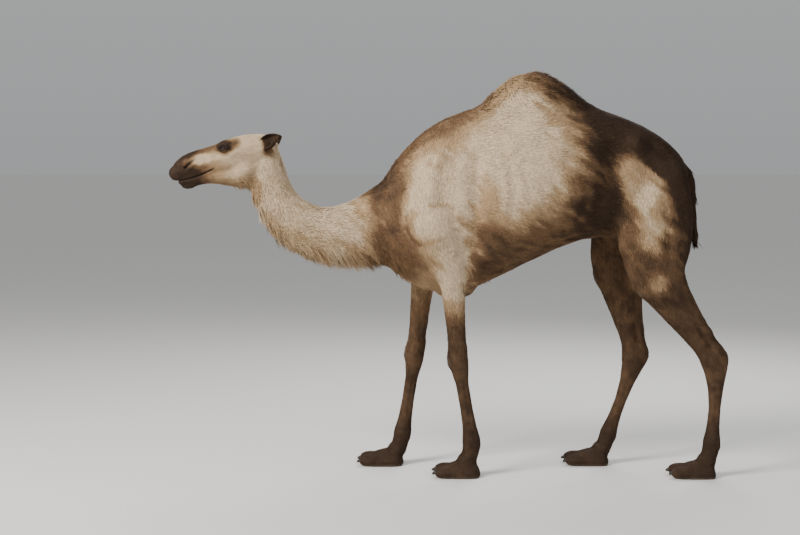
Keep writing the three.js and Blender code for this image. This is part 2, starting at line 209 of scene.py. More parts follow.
# ---- where the body's parts are
@dataclass
class Anatomy:
    """Landmarks of the body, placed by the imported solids.

    The head's own axes start at the poll, the top of the head between the ears, and tilt with the head. The
    drawing axes lie level. The frame's axes are the drawing axes, shifted along the body.
    """

    tilt: float = math.radians(15.0)
    eye_forward: float = 0.238
    eye_up: float = 0.072
    eye_radius: float = 0.023
    poll_along: float = -0.907
    poll: Array = field(init=False)
    ahead: Array = field(init=False)
    up: Array = field(init=False)
    shift: float = field(init=False)

    def __post_init__(self) -> None:
        """Finds the head's own axes from the eyes' boxes, and the shift of the drawing axes."""
        self.ahead = np.array([0.0, -math.cos(self.tilt), -math.sin(self.tilt)])
        self.up = np.array([0.0, -math.sin(self.tilt), math.cos(self.tilt)])
        self.eyes = {side: self.middle(f"eye_{name}") for name, side in SIDES.items()}
        between = (self.eyes[1] + self.eyes[-1]) / 2.0
        self.poll = between - self.eye_forward * self.ahead - self.eye_up * self.up
        self.shift = self.poll[1] - self.poll_along

    @staticmethod
    def middle(node: str) -> Array:
        """The middle of a node's box."""
        low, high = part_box(node)
        return (np.array(low) + np.array(high)) / 2.0

    def head_axes(self, points: Array) -> tuple[Array, Array, Array]:
        """Places in the head's own axes: forward to the muzzle, up to the forehead and out to the left."""
        offset = points - self.poll
        return offset @ self.ahead, offset @ self.up, points[:, 0]

    def at(self, forward: float, up: float, out: float = 0.0) -> Array:
        """The place in the frame of a point given in the head's own axes."""
        return self.poll + forward * self.ahead + up * self.up + np.array([out, 0.0, 0.0])

    def side_point(self, y: float, z: float, x: float = 0.0) -> Place:
        """A place given in the drawing axes, moved into the frame."""
        return (x, y + self.shift, z)

    def leg_joints(self) -> dict[str, list[Place]]:
        """The joints of each leg from the girdle down, in the frame, the last one in the toes."""
        upper_fore, upper_hind = (1.69, 1.285, 1.045), (1.64, 1.33, 1.012)
        places = {
            "foreleg_left": ((-0.03, -0.105, -0.006, 0.034, 0.098, 0.039), (*upper_fore, 0.596, 0.188)),
            "foreleg_right": ((-0.05, -0.135, -0.136, -0.184, -0.25, -0.352), (*upper_fore, 0.588, 0.182)),
            "hindleg_left": ((0.985, 1.022, 1.052, 1.324, 1.322, 1.238), (*upper_hind, 0.59, 0.192)),
            "hindleg_right": ((0.965, 0.944, 0.9, 0.974, 0.848, 0.738), (*upper_hind, 0.58, 0.182)),
        }
        out = {
            "fore": (0.108, 0.176, 0.17, 0.158, 0.154, 0.154),
            "hind": (0.112, 0.152, 0.168, 0.168, 0.166, 0.166),
        }
        legs = {}
        for name, (along, up) in places.items():
            side = SIDES[name.partition("_")[2]]
            joints = zip(along, (*up, 0.03), out[name[:4]])
            legs[name] = [self.side_point(y, z, side * x) for y, z, x in joints]
        return legs

    def stretches(self) -> list[tuple[Region, Stretch]]:
        """The whole body as straight lengths, each with the direction its hair lies in."""
        point = self.side_point
        back = tuple(-self.ahead)
        crown, brow, lip = (tuple(self.at(forward, 0.01)) for forward in (0.02, 0.25, 0.52))
        nape = tuple(self.at(0.0, -0.02))
        parts = [
            (Region.HEAD, Stretch(crown, brow, (0.08, 0.09), back)),
            (Region.HEAD, Stretch(brow, lip, (0.09, 0.055), back)),
            (Region.NECK, Stretch(nape, point(-0.94, 1.506), (0.09, 0.085), (0, 0.45, -0.9))),
        ]
        rows = (
            (Region.NECK, (-0.94, 1.506), (-0.845, 1.327), (0.09, 0.11), (0.45, -0.9)),
            (Region.NECK, (-0.845, 1.327), (-0.63, 1.23), (0.11, 0.13), (0.88, -0.45)),
            (Region.NECK, (-0.63, 1.23), (-0.385, 1.27), (0.14, 0.18), (0.96, -0.25)),
            (Region.TRUNK, (-0.33, 1.3), (-0.1, 1.37), (0.22, 0.36), (0.8, -0.6)),
            (Region.TRUNK, (-0.1, 1.37), (0.3, 1.44), (0.38, 0.42), (0.9, -0.45)),
            (Region.TRUNK, (0.3, 1.44), (0.66, 1.54), (0.4, 0.36), (0.9, -0.42)),
            (Region.TRUNK, (0.66, 1.54), (1.0, 1.48), (0.34, 0.28), (0.85, -0.5)),
            (Region.TRUNK, (1.0, 1.48), (1.18, 1.42), (0.26, 0.16), (0.5, -0.86)),
            (Region.HUMP, (0.3, 1.96), (0.54, 1.96), (0.13, 0.13), (0.7, -0.7)),
            (Region.TAIL, (1.218, 1.555), (1.243, 1.42), (0.04, 0.035), (0.1, -1.0)),
            (Region.TAIL, (1.243, 1.42), (1.256, 1.19), (0.035, 0.035), (0.05, -1.0)),
        )
        for region, start, end, radii, lie in rows:
            parts.append((region, Stretch(point(*start), point(*end), radii, (0.0, *lie))))
        radii = {"fore": (0.15, 0.17, 0.1, 0.06, 0.05, 0.09), "hind": (0.19, 0.2, 0.14, 0.075, 0.05, 0.09)}
        kinds = (Region.UPPER_LEG, Region.UPPER_LEG, Region.UPPER_LEG, Region.LOWER_LEG, Region.FOOT)
        backwards = np.array([0.0, 0.12, 0.0])
        over_toes = np.array([0.0, -0.75, -0.65])
        for name, joints in self.leg_joints().items():
            for i, kind in enumerate(kinds):
                start, end = joints[i : i + 2]
                lie = over_toes if kind is Region.FOOT else unit(np.array(end) - np.array(start)) + backwards
                parts.append((kind, Stretch(start, end, radii[name[:4]][i : i + 2], tuple(lie))))
        return parts


# ---- triangle surfaces
@dataclass
class Surface:
    """A closed triangle surface held as arrays."""

    points: Array
    faces: Array

    def edges(self) -> Array:
        """The pairs of points that an edge joins, each pair once."""
        return self.edge_table()[0]

    def edge_table(self) -> tuple[Array, Array]:
        """The edges, and the edges of each face.

        Returns:
            E x 2 point numbers, each pair once, and F x 3 edge numbers, the first from corner 0 to corner 1.
        """
        first = self.faces.ravel()
        second = np.roll(self.faces, -1, axis=1).ravel()
        stride = len(self.points)
        keys = np.minimum(first, second) * stride + np.maximum(first, second)
        keys, index = np.unique(keys, return_inverse=True)
        return np.stack([keys // stride, keys % stride], axis=1), index.reshape(-1, 3)

    def face_vectors(self) -> Array:
        """Each face's normal, twice as long as its area."""
        corners = self.points[self.faces]
        return np.cross(corners[:, 1] - corners[:, 0], corners[:, 2] - corners[:, 0])

    def normals(self) -> Array:
        """Unit normals at the points, from the faces around each, weighted by area."""
        vectors = self.face_vectors()
        total = np.zeros_like(self.points)
        for axis in range(3):
            for corner in range(3):
                total[:, axis] += np.bincount(self.faces[:, corner], vectors[:, axis], len(self.points))
        return unit(total)

    def face_outwards(self) -> None:
        """Turns every face over if the surface holds a negative volume."""
        corners = self.points[self.faces]
        if np.einsum("ij,ij->i", corners[:, 0], np.cross(corners[:, 1], corners[:, 2])).sum() < 0:
            self.faces = self.faces[:, ::-1].copy()

    def relax(self, rounds: int, weight: Array | float = 1.0, keep_volume: bool = True) -> None:
        """Moves each point towards the mean of its neighbours, then partly back so the form doesn't shrink.

        Args:
            rounds: how often.
            weight: how strongly, from 0 to 1, for each point or for all.
            keep_volume: whether the second, opposite step is taken.
        """
        edges = self.edges()
        count = np.bincount(edges.ravel(), minlength=len(self.points)).astype(float)
        strength = np.broadcast_to(np.asarray(weight, float), (len(self.points),))[:, None]
        steps = (0.5, -0.52) if keep_volume else (0.5,)
        for _ in range(rounds):
            for step in steps:
                total = np.stack([neighbour_sum(edges, values) for values in self.points.T], axis=1)
                self.points = self.points + step * strength * (total / count[:, None] - self.points)

    def refine(self, chosen: Array) -> None:
        """Splits each face whose three points are chosen into four, and closes the faces around them.

        A face with two split edges is split whole too, and one with one is cut in two, so no crack opens.

        Args:
            chosen: for each point, whether it is in the finer area.
        """
        edges, index = self.edge_table()
        marked = np.zeros(len(edges), bool)
        marked[index[chosen[self.faces].all(axis=1)]] = True
        while True:
            partly = marked[index].sum(axis=1) == 2
            if not partly.any():
                break
            marked[index[partly]] = True
        middle = np.full(len(edges), -1)
        middle[marked] = len(self.points) + np.arange(marked.sum())
        points = np.concatenate([self.points, self.points[edges[marked]].mean(axis=1)])
        count = marked[index].sum(axis=1)
        faces = [self.faces[count == 0]]
        a, b, c = self.faces[count == 3].T
        ab, bc, ca = middle[index[count == 3]].T
        quarters = ((a, ab, ca), (ab, b, bc), (ca, bc, c), (ab, bc, ca))
        faces += [np.stack(corners, axis=1) for corners in quarters]
        for turn in range(3):
            rolled = np.roll(self.faces, -turn, axis=1)
            edge = np.roll(index, -turn, axis=1)[:, 0]
            one = (count == 1) & marked[edge]
            a, b, c = rolled[one].T
            half = middle[edge[one]]
            faces += [np.stack([a, half, c], axis=1), np.stack([half, b, c], axis=1)]
        self.points, self.faces = points, np.concatenate(faces)

    def piece(self, name: str) -> Piece:
        """Makes the surface a smooth-shaded mesh object at the origin."""
        mesh = bpy.data.meshes.new(name)
        mesh.vertices.add(len(self.points))
        mesh.vertices.foreach_set("co", self.points.astype(np.float32).ravel())
        mesh.loops.add(self.faces.size)
        mesh.loops.foreach_set("vertex_index", self.faces.astype(np.int32).ravel())
        mesh.polygons.add(len(self.faces))
        mesh.polygons.foreach_set("loop_start", np.arange(0, self.faces.size, 3, dtype=np.int32))
        mesh.update(calc_edges=True)
        mesh.polygons.foreach_set("use_smooth", np.ones(len(self.faces), bool))
        piece = bpy.data.objects.new(name, mesh)
        bpy.context.scene.collection.objects.link(piece)
        return piece


def neighbour_sum(edges: Array, values: Array) -> Array:
    """For each point, the sum of the values at the points that an edge joins it to."""
    total = np.bincount(edges[:, 0], values[edges[:, 1]], len(values))
    return total + np.bincount(edges[:, 1], values[edges[:, 0]], len(values))


def spread(surface: Surface, values: Array, rounds: int) -> Array:
    """Values at the points, each averaged with its neighbours' several times."""
    edges = surface.edges()
    count = np.bincount(edges.ravel(), minlength=len(values)).astype(float)
    for _ in range(rounds):
        values = 0.5 * values + 0.5 * neighbour_sum(edges, values) / count
    return values


def bands(grid: Array) -> Array:
    """The triangles between rings of points, two for each cell of a grid of point numbers, a row a ring."""
    here, beside = grid[:-1], np.roll(grid[:-1], -1, axis=1)
    above, beyond = grid[1:], np.roll(grid[1:], -1, axis=1)
    halves = ((here, beside, beyond), (here, beyond, above))
    return np.concatenate([np.stack(corners, axis=-1).reshape(-1, 3) for corners in halves])


def closed_rings(rings: Array) -> Surface:
    """A closed surface through rings of points, with a fan over the first and the last ring.

    Args:
        rings: R x S x 3 places.

    Returns:
        The surface.
    """
    count, sides, _ = rings.shape
    points = np.concatenate([rings.reshape(-1, 3), rings[:1].mean(axis=1), rings[-1:].mean(axis=1)])
    grid = np.arange(count * sides).reshape(count, sides)
    first, last = count * sides, count * sides + 1
    faces = np.concatenate([
        bands(grid),
        np.stack([np.full(sides, first), np.roll(grid[0], -1), grid[0]], axis=1),
        np.stack([np.full(sides, last), grid[-1], np.roll(grid[-1], -1)], axis=1),
    ])
    surface = Surface(points, faces)
    surface.face_outwards()
    return surface


def ball(centre: Array, radius: float, around: int = 16) -> Surface:
    """A sphere, with half as many rings as there are points around it."""
    turn = full_turn(around)
    rise = np.linspace(-0.46, 0.46, around // 2 + 1)[:, None] * np.pi
    rings = [np.cos(rise) * np.cos(turn), np.cos(rise) * np.sin(turn), np.sin(rise) * np.ones(around)]
    return closed_rings(centre + radius * np.stack(rings, axis=-1))


def fused(solids: list[Surface], voxel: float, swell: float) -> Surface:
    """One closed surface around several solids, a little outside them so that thin gaps close.

    Args:
        solids: the closed surfaces.
        voxel: the lattice spacing of the distance field.
        swell: how far outside the solids the surface lies.

    Returns:
        The surface.
    """
    starts = np.cumsum([0] + [len(solid.points) for solid in solids])
    triangles = np.concatenate([solid.faces + start for solid, start in zip(solids, starts)])
    grid = openvdb.FloatGrid.createLevelSetFromPolygons(
        np.concatenate([solid.points for solid in solids]),
        triangles=triangles.astype(np.uint32),
        transform=openvdb.createLinearTransform(voxelSize=voxel),
        halfWidth=3.0,
    )
    place, quads = grid.convertToQuads(isovalue=swell)
    quads = quads.astype(np.int64)
    surface = Surface(place.astype(float), np.concatenate([quads[:, [0, 1, 2]], quads[:, [0, 2, 3]]]))
    surface.face_outwards()
    return surface


def arrays_of(piece: Piece) -> Surface:
    """The triangles of a piece as it stands after its modifiers."""
    shown = piece.evaluated_get(bpy.context.evaluated_depsgraph_get())
    mesh = shown.to_mesh()
    points = np.empty(len(mesh.vertices) * 3, np.float32)
    mesh.vertices.foreach_get("co", points)
    mesh.calc_loop_triangles()
    faces = np.empty(len(mesh.loop_triangles) * 3, np.int32)
    mesh.loop_triangles.foreach_get("vertices", faces)
    surface = Surface(points.reshape(-1, 3).astype(float), faces.reshape(-1, 3).astype(np.int64))
    shown.to_mesh_clear()
    return surface


def discard(*pieces: Piece) -> None:
    """Removes helper pieces with their meshes."""
    for piece in pieces:
        mesh = piece.data
        bpy.data.objects.remove(piece)
        bpy.data.meshes.remove(mesh)


def wrapped(surface: Surface, target: Surface) -> Surface:
    """The surface with each point moved to the nearest place on the target."""
    piece, onto = surface.piece("wrap"), target.piece("wrap_target")
    wrap = piece.modifiers.new("wrap", "SHRINKWRAP")
    wrap.wrap_method = "NEAREST_SURFACEPOINT"
    wrap.target = onto
    result = arrays_of(piece)
    discard(piece, onto)
    return Surface(result.points, surface.faces)


def united(surface: Surface, others: list[Surface]) -> Surface:
    """One closed surface around a surface and others that reach into it."""
    piece = surface.piece("united")
    added = [other.piece(f"united_{i}") for i, other in enumerate(others)]
    for other in added:
        join = piece.modifiers.new("join", "BOOLEAN")
        join.operation = "UNION"
        join.solver = "MANIFOLD"
        join.object = other
    result = arrays_of(piece)
    discard(piece, *added)
    return result


# ---- forms under the skin
@dataclass(frozen=True)
class Form:
    """A ridge or groove along a path, or a lump or hollow at a point, raised along the skin's normals.

    The height at a distance d from the path is height * exp(-(d / width)^2).
    """

    path: tuple[Place, ...]
    width: float
    height: float
    ends: float = 0.0

    def lift(self, points: Array) -> Array:
        """How far each point is raised. The height fades over the share ends of the path at both ends.

        Args:
            points: N x 3 places.

        Returns:
            N heights.
        """
        path = np.array(self.path, float)
        if len(path) == 1:
            return self.height * bell(np.linalg.norm(points - path[0], axis=1), self.width)
        lengths = np.linalg.norm(np.diff(path, axis=0), axis=1)
        before = np.concatenate([[0.0], np.cumsum(lengths)]) / lengths.sum()
        nearest = np.full(len(points), np.inf)
        along = np.zeros(len(points))
        for start, end, passed, length in zip(path[:-1], path[1:], before, lengths):
            share, away = beside_line(points, start, end)
            closer = away < nearest
            nearest[closer] = away[closer]
            along[closer] = passed + share[closer] * length / lengths.sum()
        height = self.height * bell(nearest, self.width)
        if self.ends > 0.0:
            height = height * np.clip(np.minimum(along, 1.0 - along) / self.ends, 0.0, 1.0)
        return height


def forms_at(at: Callable[[float, float, float], Iterable[float]], rows: Iterable[tuple],
             sides: Iterable[int] = (1, -1)) -> list[Form]:
    """Forms on one or both sides of a middle line.

    Args:
        at: gives the place in the frame of three numbers, the last of them outwards from the middle.
        rows: for each form its places as such numbers, its width, its height and, if they fade, its ends.
        sides: 1 for the side as given and -1 for the other.

    Returns:
        The forms.
    """
    return [
        Form(tuple(tuple(at(a, b, side * out)) for a, b, out in places), *sizes)
        for places, *sizes in rows
        for side in sides
    ]


# forms of the head: places forward, up and out in its own axes, width, height and fading ends
FACE_MIDDLE = (
    ([(0.5, 0.1, 0.0), (0.555, 0.045, 0.0), (0.565, -0.01, 0.0)], 0.0055, -0.008),  # cleft of the lip
    ([(0.05, 0.115, 0.0), (0.16, 0.135, 0.0)], 0.016, 0.004),  # forehead
    ([(0.455, -0.1, 0.0)], 0.02, 0.004),  # chin
)
FACE_SIDES = (
    ([(0.165, 0.08, 0.064)], 0.03, -0.007),  # hollow of the temple
    ([(0.236, 0.06, 0.086)], 0.04, 0.007),  # mound around the eye
    # brow, cheekbone, hollow before the eye
    ([(0.2, 0.1, 0.068), (0.235, 0.108, 0.072), (0.27, 0.094, 0.07)], 0.012, 0.003, 0.2),
    ([(0.15, 0.035, 0.08), (0.215, 0.034, 0.083), (0.3, 0.03, 0.066)], 0.012, 0.005, 0.2),
    ([(0.285, 0.062, 0.066), (0.3, 0.045, 0.062)], 0.012, -0.004),
    # side of the nose, groove above the lips, groove before the chewing muscle, the muscle
    ([(0.345, 0.06, 0.055), (0.42, 0.055, 0.05)], 0.022, -0.005, 0.2),
    ([(0.3, -0.005, 0.06), (0.4, -0.002, 0.055)], 0.016, -0.003, 0.2),
    ([(0.245, -0.02, 0.072), (0.262, -0.075, 0.062), (0.245, -0.12, 0.045)], 0.01, -0.005, 0.2),
    ([(0.17, -0.055, 0.085)], 0.036, 0.007),
    ([(0.085, -0.02, 0.075), (0.11, -0.1, 0.062)], 0.014, -0.006, 0.2),  # groove behind the jaw
    # upper rim, lower rim and slit of the nostril
    ([(0.412, 0.069, 0.047), (0.447, 0.058, 0.048), (0.482, 0.038, 0.046)], 0.01, 0.005, 0.2),
    ([(0.398, 0.038, 0.049), (0.428, 0.028, 0.05), (0.458, 0.01, 0.05)], 0.009, 0.004, 0.1),
    ([(0.405, 0.053, 0.049), (0.437, 0.043, 0.049), (0.47, 0.024, 0.049)], 0.0046, -0.014, 0.12),
    ([(0.055, 0.018, 0.07)], 0.026, 0.005),  # root of the ear
)


@dataclass
class Face:
    """The shapes of the head that the solids only hint at: sockets, lids, nostrils, lips and cheeks.

    lid is how thick the lids are, opening half an opening's width and how far it opens up and down, and gaze
    the direction of the eyes ahead, up and out. slant is how far the openings rise towards the front, as a
    share of the way. nostril_slit is the line of the left nostril.
    """

    body: Anatomy
    lid: float = 0.0026
    opening: Place = (0.0195, 0.0125, 0.0095)
    gaze: Place = (0.34, 0.06, 0.94)
    slant: float = 0.12
    nostril_slit: tuple[Place, ...] = ((0.408, 0.052, 0.049), (0.437, 0.043, 0.049), (0.467, 0.026, 0.049))

    def forms(self) -> list[Form]:
        """Ridges and hollows of the bones and muscles of the head."""
        return forms_at(self.body.at, FACE_MIDDLE, (1,)) + forms_at(self.body.at, FACE_SIDES)

    def from_mouth(self, points: Array) -> Array:
        """How far points lie above the line between the lips."""
        forward, up, _ = self.body.head_axes(points)
        along = [0.3, 0.335, 0.4, 0.46, 0.52, 0.56]
        line = [-0.006, -0.016, -0.027, -0.031, -0.027, -0.024]
        return up - np.interp(forward, along, line)

    def lips(self, points: Array) -> Array:
        """1 on the bare line between the lips, 0 a few millimetres away."""
        forward, up, _ = self.body.head_axes(points)
        before_corner = ramp(0.318, 0.335, forward)
        return ramp(0.007, 0.003, np.abs(self.from_mouth(points))) * before_corner * (up > -0.1)

    def nostril(self, points: Array) -> Array:
        """1 in the nostrils, 0 outside their rims."""
        slits = forms_at(self.body.at, [(self.nostril_slit, 0.008, 1.0)])
        return ramp(0.25, 0.75, np.max([slit.lift(points) for slit in slits], axis=0))

    def mouth(self, points: Array, normals: Array) -> Array:
        """Moves of the points for the mouth: a groove between lips that swell above and below it."""
        forward, _, out = self.body.head_axes(points)
        away = self.from_mouth(points)
        length = ramp(0.312, 0.345, forward)
        side = ramp(0.01, 0.026, np.abs(out)) + ramp(0.47, 0.5, forward)
        strength = length * np.clip(side, 0.0, 1.0)
        groove = -0.0075 * bell(away, 0.0036)
        for middle in (0.011, -0.011):
            groove += 0.0022 * bell(away - middle, 0.008)
        return (strength * groove)[:, None] * normals

    def eye_axes(self, side: int) -> tuple[Array, Array, Array]:
        """The direction an eye looks in, and the directions along and up its opening."""
        ahead, up, out = self.gaze
        look = unit(ahead * self.body.ahead + up * self.body.up + np.array([out * side, 0.0, 0.0]))
        along = unit(self.body.ahead - (self.body.ahead @ look) * look)
        tall = np.cross(look, along)
        return look, along, tall * np.sign(tall @ self.body.up)

    def edge(self, along: Array) -> tuple[Array, Array]:
        """How far the upper and the lower lid open at places along the eye."""
        half, upper, lower = self.opening
        share = np.clip(1.0 - (along / half) ** 2, 0.0, 1.0)
        return upper * share**0.75, lower * share**0.9

    def on_lid(self, side: int, along: Array, height: Array, out: float) -> Array:
        """Places on the ball of an eye at a distance along and up from its middle, raised by some more."""
        look, across, tall = self.eye_axes(side)
        flat = np.stack([along, height - self.slant * along], axis=1)
        turn = np.linalg.norm(flat, axis=1, keepdims=True) / self.body.eye_radius
        outwards = np.cos(turn) * look + np.sin(turn) * (unit(flat) @ np.stack([across, tall]))
        return self.body.eyes[side] + (self.body.eye_radius + out) * outwards

    def beyond(self, points: Array, side: int) -> tuple[Array, Array]:
        """How far points lie beyond the rim of an eye's opening, measured over the ball, and how high.

        Args:
            points: N x 3 places near the eye.
            side: 1 for the left eye and -1 for the right.

        Returns:
            The distances, negative inside the opening, and the heights above the eye's middle line.
        """
        look, across, tall = self.eye_axes(side)
        ray = unit(points - self.body.eyes[side])
        turn = np.arccos(np.clip(ray @ look, -1.0, 1.0))
        flat = unit(np.stack([ray @ across, ray @ tall], axis=1)) * (turn * self.body.eye_radius)[:, None]
        along, height = flat[:, 0], flat[:, 1] + self.slant * flat[:, 0]
        half = self.opening[0]
        upper, lower = self.edge(along)
        inside = np.abs(height) - np.where(height > 0.0, upper, lower)
        return np.where(np.abs(along) < half, inside, np.hypot(np.abs(along) - half, height)), height

    def rim(self, points: Array) -> Array:
        """1 on the bare dark rims of the lids, 0 a few millimetres away."""
        share = np.zeros(len(points))
        for side, middle in self.body.eyes.items():
            near = np.linalg.norm(points - middle, axis=1) < self.body.eye_radius + 0.016
            share = np.maximum(share, near * ramp(0.0062, 0.003, self.beyond(points, side)[0]))
        return share

    def lids(self, points: Array) -> Array:
        """Points around each eye, moved onto the lids, or behind the ball where the lids are open.

        Each point keeps its direction from the ball's middle and gets a new distance: the ball's radius and a
        lid's thickness near the rim, less than the radius inside the opening, and its own distance far off.
        """
        radius = self.body.eye_radius
        moved = points.copy()
        for side, middle in self.body.eyes.items():
            offset = points - middle
            away = np.linalg.norm(offset, axis=1)
            ray = offset / np.maximum(away, 1e-9)[:, None]
            beyond, height = self.beyond(points, side)
            above = ramp(-0.002, 0.003, height)
            fold = -0.0024 * bell(beyond - 0.008, 0.002) * above
            pouch = 0.0012 * bell(beyond - 0.006, 0.0035)
            rim = radius + self.lid + (0.0008 + 0.0008 * above) * bell(beyond - 0.0015, 0.0018) + fold + pouch
            outside = rim + (away - rim) * ramp(0.004, 0.034, beyond)
            inside = radius - 0.007
            target = inside + (outside - inside) * ramp(-0.0012, 0.001, beyond)
            near = ramp(0.07, 0.05, away) * ramp(-0.05, 0.3, ray @ self.eye_axes(side)[0])
            moved += (near * (target - away))[:, None] * ray
        return moved


@dataclass
class Eye:
    """One eyeball with a raised cornea, a dark brown iris and a level oval pupil.

    iris is the iris's radius, pupil half the pupil's width and height, and dome how far the cornea rises. The
    ball lies within the lids by the clearance.
    """

    face: Face
    side: int
    iris: float = 0.014
    pupil: Pair = (0.0078, 0.0042)
    dome: float = 0.0016
    clearance: float = 0.0004
    brown: Colour = (0.05, 0.022, 0.009)
    white: Colour = (0.115, 0.075, 0.055)
    black: float = 0.003

    def surface(self, around: int = 96, rings: int = 72) -> Surface:
        """The ball as rings around the direction it looks in, closest together at the pupil."""
        look, across, tall = self.face.eye_axes(self.side)
        body = self.face.body
        turn = full_turn(around)
        fall = np.pi * np.linspace(0.006, 0.985, rings)[:, None] ** 1.5
        cornea = self.dome * ramp(self.iris * 1.1, 0.0, body.eye_radius * fall)
        radius = body.eye_radius - self.clearance + cornea
        flat = np.cos(turn)[:, None] * across + np.sin(turn)[:, None] * tall
        outwards = np.cos(fall)[:, :, None] * look + np.sin(fall)[:, :, None] * flat[None]
        return closed_rings(body.eyes[self.side] + radius[:, :, None] * outwards)

    def colours(self, points: Array) -> Array:
        """Pupil, iris with its darker rim, and the brown white of the eye."""
        look, across, tall = self.face.eye_axes(self.side)
        radius = self.face.body.eye_radius
        ray = unit(points - self.face.body.eyes[self.side])
        away = np.arccos(np.clip(ray @ look, -1.0, 1.0)) * radius
        along, height = ray @ across * radius, ray @ tall * radius
        pupil = ramp(1.06, 0.94, np.hypot(along / self.pupil[0], height / self.pupil[1]))[:, None]
        edge = ramp(0.68 * self.iris, self.iris, away)[:, None]
        outside = ramp(0.97 * self.iris, 1.07 * self.iris, away)[:, None]
        spoke_place = np.stack([np.arctan2(height, along) * 4.0, away * 200.0, np.zeros(len(points))], axis=1)
        spokes = 0.85 + 0.18 * wobble(spoke_place, 0.5, 21)
        iris = np.array(self.brown) * spokes[:, None] * (1.0 - 0.7 * edge)
        colour = iris + (np.array(self.white) - iris) * outside
        return colour * (1.0 - pupil) + self.black * pupil


@dataclass
class Ear:
    """A cupped ear with a rounded tip, its hollow turned outwards and forwards.

    Its section is an arc of curl radians to each side of its back. sunk is the share of its length inside the
    head.
    """

    body: Anatomy
    side: int
    length: float = 0.13
    width: float = 0.066
    depth: float = 0.04
    wall: float = 0.0048
    curl: float = 2.05
    sunk: float = 0.12

    def axes(self) -> Array:
        """The ear's own axes as columns: across, backwards and along."""
        turn = Euler((-0.98, 0.5 * self.side, 0.5 * self.side), "ZXY")
        return np.array(turn.to_matrix())

    def root(self) -> Array:
        """The place that the ear grows from."""
        return self.body.at(0.062, 0.033, 0.062 * self.side)

    def local(self, points: Array) -> Array:
        """Places in the ear's own axes: three rows, across, backwards and along."""
        return ((points - self.root()) @ self.axes()).T

    def swell(self, height: Array) -> Array:
        """How wide the ear is at a share of its height: rounded at both ends and fullest below its middle."""
        return (1.12 - 0.5 * height + 0.42 * np.sin(np.pi * height)) * 2.0 * np.sqrt(height - height**2)

    def holds(self, points: Array) -> Array:
        """1 for points on the ear, falling to 0 at its root and away from it."""
        across, deep, along = self.local(points)
        half = self.swell(np.clip(along / self.length + self.sunk, 0.03, 0.97)) / 2.0
        away = np.hypot(across / (half * self.width), deep / (half * self.depth))
        return ramp(1.4, 1.12, away) * ramp(0.004, 0.02, along) * (along < 1.1 * self.length)

    def surface(self, around: int = 44, rings: int = 34) -> Surface:
        """The ear's closed surface: rings of a crescent section, closed at root and tip."""
        half = around // 2
        turn = np.linspace(-self.curl, self.curl, half)
        sections = []
        for height in 0.5 - 0.5 * np.cos(np.pi * np.linspace(0.04, 0.985, rings)):
            wide, deep = self.swell(height) * self.width / 2.0, self.swell(height) * self.depth / 2.0
            wall = min(self.wall * (1.0 - 0.45 * height), 0.4 * deep)
            outer = np.stack([wide * np.sin(turn), deep * np.cos(turn)], axis=1)
            inner = np.stack([(wide - wall) * np.sin(turn), (deep - wall) * np.cos(turn)], axis=1)[::-1]
            along = np.full((around, 1), (height - self.sunk) * self.length)
            sections.append(np.concatenate([np.concatenate([outer, inner]), along], axis=1))
        grid = np.arange(rings * around).reshape(rings, around)
        faces = [bands(grid)]
        start = np.arange(half - 1)
        for ring, turned in ((grid[0], 1), (grid[-1], -1)):
            corners = (start, start + 1, around - 2 - start, around - 1 - start)
            cells = np.stack([ring[corner] for corner in corners], axis=1)[:, ::turned]
            faces.append(cells[:, [[0, 2, 1], [0, 3, 2]]].reshape(-1, 3))
        surface = Surface(self.root() + np.concatenate(sections) @ self.axes().T, np.concatenate(faces))
        surface.face_outwards()
        surface.relax(3, 0.5, keep_volume=False)
        return surface


def ears_of(body: Anatomy) -> list[Ear]:
    """Both ears, the left one first."""
    return [Ear(body, side) for side in SIDES.values()]


# forms of the trunk: places along, up and out in the drawing axes, width, height and fading ends
TRUNK_SIDES = (
    # ridge of the shoulder blade, groove behind it, groove before it
    ([(-0.03, 1.74, 0.13), (-0.09, 1.55, 0.19), (-0.13, 1.36, 0.23)], 0.032, 0.01, 0.2),
    ([(0.1, 1.7, 0.19), (0.105, 1.45, 0.245), (0.1, 1.2, 0.24), (0.095, 1.08, 0.22)], 0.04, -0.016, 0.2),
    ([(-0.2, 1.66, 0.12), (-0.26, 1.45, 0.17), (-0.275, 1.25, 0.16)], 0.035, -0.012, 0.2),
    ([(-0.09, 1.3, 0.27)], 0.075, 0.012),  # point of the shoulder
    ([(-0.05, 1.2, 0.26), (0.05, 1.12, 0.25)], 0.03, -0.007, 0.2),  # groove under it
    ([(0.8, 1.66, 0.22), (0.79, 1.53, 0.25)], 0.065, -0.02),  # hollow of the flank
    ([(0.915, 1.7, 0.17)], 0.045, 0.016),  # point of the hip
    ([(1.175, 1.545, 0.09)], 0.038, 0.01),  # point of the buttock
    ([(0.97, 1.7, 0.14), (1.1, 1.6, 0.12)], 0.04, -0.008, 0.2),  # groove between them
    # fold of skin from flank to knee, groove before it
    ([(0.745, 1.32, 0.22), (0.8, 1.24, 0.2), (0.86, 1.12, 0.18)], 0.03, 0.012, 0.2),
    ([(0.7, 1.42, 0.25), (0.74, 1.27, 0.2)], 0.04, -0.01, 0.1),
)


